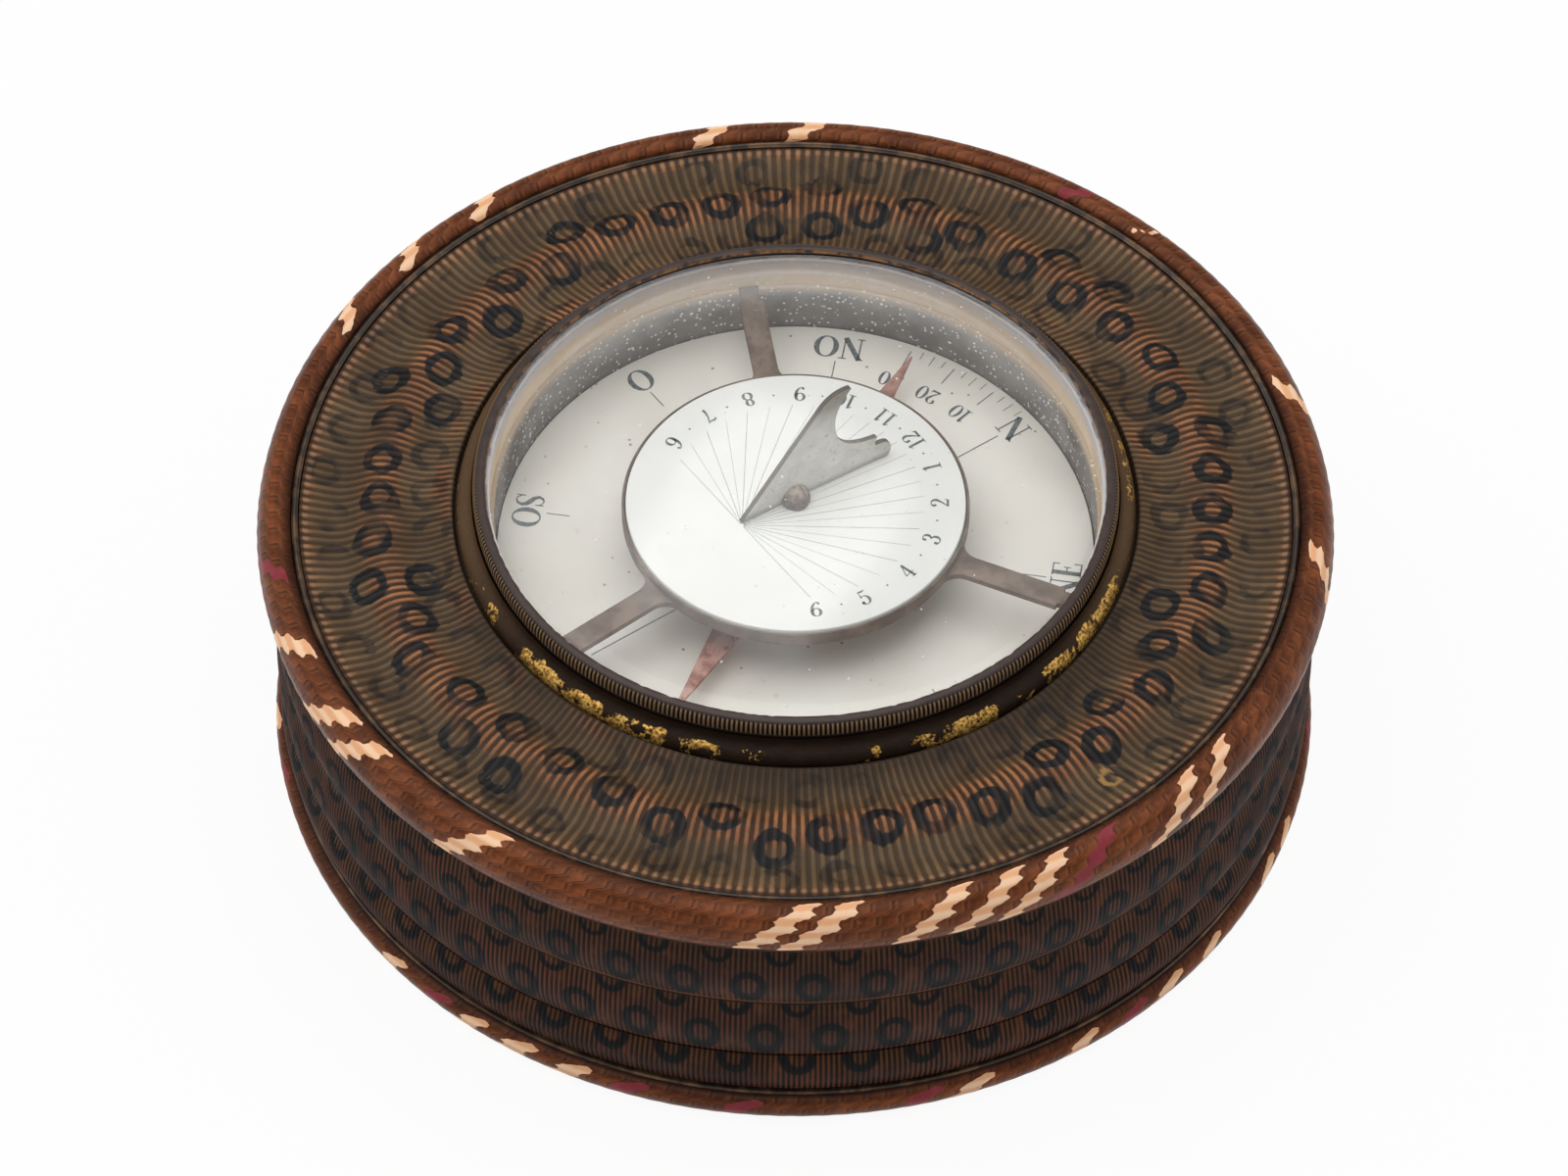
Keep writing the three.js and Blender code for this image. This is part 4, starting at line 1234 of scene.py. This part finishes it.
def dial_pieces(enamel, ink, pale_ink):
    outline = [(0.65, WELL_TOP), (13.2, WELL_TOP), (13.25, 24.0), (13.25, 24.6), (13.2, 24.7),
               (13.1, DIAL_TOP), (0.65, DIAL_TOP)]
    piece("dial_plate", spun(outline, 256), enamel, "lid", ("sundial_plate",))
    top = DIAL_TOP + PRINT_LIFT
    bm = bmesh.new()
    for text, degrees in HOUR_MARKS:
        words(bm, text, degrees, radius=11.2, size=1.45, height=top, wide=1.02)
    for (_, first), (_, second) in zip(HOUR_MARKS, HOUR_MARKS[1:]):
        x, y = toward(math.radians(first - ((first - second) % 360) / 2), 11.15)
        stroke(bm, [(x - 0.1, y), (x, y), (x + 0.1, y)], top, [0.03, 0.19, 0.03])
    piece("dial_numerals", bm, ink, "lid")
    bm = bmesh.new()
    noon = math.radians(NOON)
    for half_hour in range(-12, 13):
        hour = math.radians(7.5 * half_hour)
        swing = math.atan2(math.sin(math.radians(LATITUDE)) * math.sin(hour), math.cos(hour))
        run = toward(noon - swing)
        inner, width = (0.9, 0.035) if half_hour % 2 else (0.15, 0.05)
        along = run.dot(FOOT)
        outer = -along + math.sqrt(along ** 2 - FOOT.length_squared + LINE_REACH ** 2)
        stroke(bm, [FOOT + run * inner, FOOT + run * outer], top, [width, width])
    arc = [FOOT + toward(noon + math.radians(-95 + 190 * step / 16), 0.62) for step in range(17)]
    stroke(bm, arc, top, [0.04] * 17)
    piece("dial_hour_lines", bm, pale_ink, "lid")


def boss_piece(solder):
    swell = [(1.19, 24.95), (1.19, 25.2), (1.12, 25.5), (0.94, 25.84), (0.62, 26.12), (0.28, 26.3),
             (0, 26.42)]
    bm = spun([(0, 24.76), (1.14, 24.76)] + softened(swell), 48, closed=False)

    def lump(azimuth, radius, height, _along):
        spot = around(azimuth, radius * 1.6, height * 1.2)
        return -0.03 - 0.06 * noise.noise(spot), -0.02 + 0.06 * noise.noise(spot * 1.3)

    moved(bm, lump)
    shank = [(0, 22.8), (0.75, 22.8), (0.8, 22.85), (0.8, 23.05), (0.5, 23.05), (0.5, 24.8), (0, 24.8)]
    joined(bm, spun(shank, 32, closed=False))
    piece("dial_boss", turned(bm, NOON), solder, "lid", ("gnomon_boss",))


def gnomon_piece(silver):
    """The shadow plate stands a little aside of the axis and was riveted slightly askew."""
    thick, aside, skew = 0.42, 0.38, -3.6
    base = DIAL_TOP + 0.06
    hook, tip, back, spur = (2.32, 8.91), (5.02, 9.86), (3.68, 6.6), (7.5, 2.76)
    outline = [(-4.85, 0.0), hook] + curve([hook, (3.4, 10.15), tip])
    outline += [(5.1, 9.7)] + curve([(5.1, 9.7), (3.72, 8.2), back])
    outline += curve([back, (3.62, 4.2), (4.9, 3.0), spur], 14)
    outline += [(7.62, 2.62), (7.46, 2.3)] + curve([(7.46, 2.3), (7.34, 1.78), (7.72, 1.84)], 4)
    outline += curve([(7.72, 1.84), (8.86, 1.9), (8.9, 0.75)])
    outline += curve([(8.9, 0.75), (8.86, 0.0), (8.3, 0.0)], 5)
    points = [(out, aside - thick / 2, base + up) for out, up in outline]
    bm = plate(points, Vector((0, thick, 0)), 0.07)
    edge = bm.verts.layers.float.new("edge")
    for vert in bm.verts:
        vert[edge] = 1.0 if abs(vert.co.y - aside) < thick / 2 - 0.02 else 0.0
    piece("shadow_plate", turned(bm, NOON + skew), silver, "lid", ("gnomon",))


# Needle


def needle_piece(steel):
    reach, half, low, high = 20.6, 2.52, 21.05, 21.35
    waist, tip = 0.8, 0.07
    corners = [(reach, -tip), (reach, tip), (waist, half), (-waist, half), (-reach, tip), (-reach, -tip),
               (-waist, -half), (waist, -half)]
    bm = plate([(x, y, low) for x, y in corners], Vector((0, 0, high - low)), 0.05)
    piece("needle_arrow", turned(bm, NEEDLE), steel, "needle", ("needle_blade",))


# Room: floor, lamps and the camera


def room():
    bm = bmesh.new()
    bmesh.ops.create_grid(bm, x_segments=1, y_segments=1, size=4.0)
    mesh = meshed("floor", bm)
    floor = placed("floor", mesh)
    # just below the box, so that the two flat faces don't fight
    floor.location = (0, 0, -0.0003)
    f = Finish("white floor")
    f.dress((0.86, 0.86, 0.86, 1), 0.8)
    camera, mirrored, through = (f.add("ShaderNodeLightPath", output=kind)
                                 for kind in ("Is Camera Ray", "Is Glossy Ray", "Is Transmission Ray"))
    seen = f.most(camera, f.most(mirrored, through))
    glow = f.add("ShaderNodeEmission", inputs={"Color": (1, 1, 1, 1), "Strength": 1.0})
    mesh.materials.append(f.surface(f.mixed(seen * 0.93, Wire(f, f.shader.outputs[0]), glow)))
    world = bpy.data.worlds.new("studio")
    bpy.context.scene.world = world
    world.use_nodes = True
    nodes, links = world.node_tree.nodes, world.node_tree.links
    choose = nodes.new("ShaderNodeMixShader")
    links.new(nodes.new("ShaderNodeLightPath").outputs["Is Camera Ray"], choose.inputs[0])
    lit, seen = nodes["Background"], nodes.new("ShaderNodeBackground")
    for index, sky, level in ((1, lit, WORLD_LEVEL), (2, seen, 1.0)):
        sky.inputs["Color"].default_value = (1, 1, 1, 1)
        sky.inputs["Strength"].default_value = level
        links.new(sky.outputs[0], choose.inputs[index])
    links.new(choose.outputs[0], nodes["World Output"].inputs[0])
    for name, place, size, power in LAMPS:
        light = bpy.data.lights.new(name, "AREA")
        light.shape = "RECTANGLE"
        light.size, light.size_y = size
        light.energy = power
        lamp = placed(name, light)
        lamp.location = place
        lamp.rotation_euler = (Vector((0, 0, 0.02)) - Vector(place)).to_track_quat("-Z", "Y").to_euler()


def camera():
    """The photograph's view: how far off, how steep, its slight roll and where it looks."""
    elevation, distance, roll = math.radians(49.482), 504.6, 0.008
    aside, above, middle = 0.852, -1.042, 12.66
    forward = Vector((0, math.cos(elevation), -math.sin(elevation)))
    right, up = Vector((1, 0, 0)), Vector((0, math.sin(elevation), math.cos(elevation)))
    across = right * math.cos(roll) + up * math.sin(roll)
    upwards = up * math.cos(roll) - right * math.sin(roll)
    place = Vector((0, 0, middle)) - distance * forward - aside * across - above * upwards
    data = bpy.data.cameras.new("camera")
    data.lens = 146.25
    data.sensor_width = 36
    data.clip_start = 0.01
    obj = placed("camera", data)
    turn = Matrix((across, upwards, -forward)).transposed().to_4x4()
    obj.matrix_world = Matrix.Translation(place * MM) @ turn
    bpy.context.scene.camera = obj


def carried_over():
    """Finishes for the inner CAD pieces that stay as they are."""
    brass = plain_metal("turned brass", (110, 84, 48), (164, 130, 78), 0.8, 0.3)
    finishes = {
        "card_backing": card_finish(),
        "boss_washer": plain_metal("grey washer", (92, 84, 78), (132, 124, 116), 0.7, 0.4),
        "pivot_foot": brass,
        "pivot_pin": plain_metal("polished steel", (136, 136, 138), (190, 190, 192), 0.9, 0.2),
        "needle_cap": brass,
        "needle_jewel": plain_metal("agate", (120, 52, 36), (176, 96, 66), 0.0, 0.15),
    }
    for node, finish in finishes.items():
        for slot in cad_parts[node].material_slots:
            slot.material = finish


def build():
    shell, wall, bead = shell_finish(), wall_finish(), bead_finish()
    line, lining = string_finish(), lining_finish()
    base_pieces(shell, wall, bead, line, lining)
    lid_pieces(shell, wall, bead, line, lining)
    flange_piece(flange_finish())
    gilt_piece(gilt_finish())
    bezel_piece(bronze_finish())
    card_ink = ink_finish("grey print", (112, 120, 122), (70, 78, 84))
    well_pieces(cream_finish(), wall_dust_finish(), card_finish(), card_ink, glass_finish())
    carrier_piece(cup_metal_finish())
    dial_ink = ink_finish("black print", (122, 128, 132), (78, 84, 90))
    line_ink = ink_finish("fine grey line", (190, 190, 190), (150, 152, 154))
    dial_pieces(enamel_finish(), dial_ink, line_ink)
    boss_piece(solder_finish())
    gnomon_piece(silver_finish())
    needle_piece(needle_finish())
    carried_over()


build()
room()
camera()
bpy.context.scene.view_settings.view_transform = "Standard"
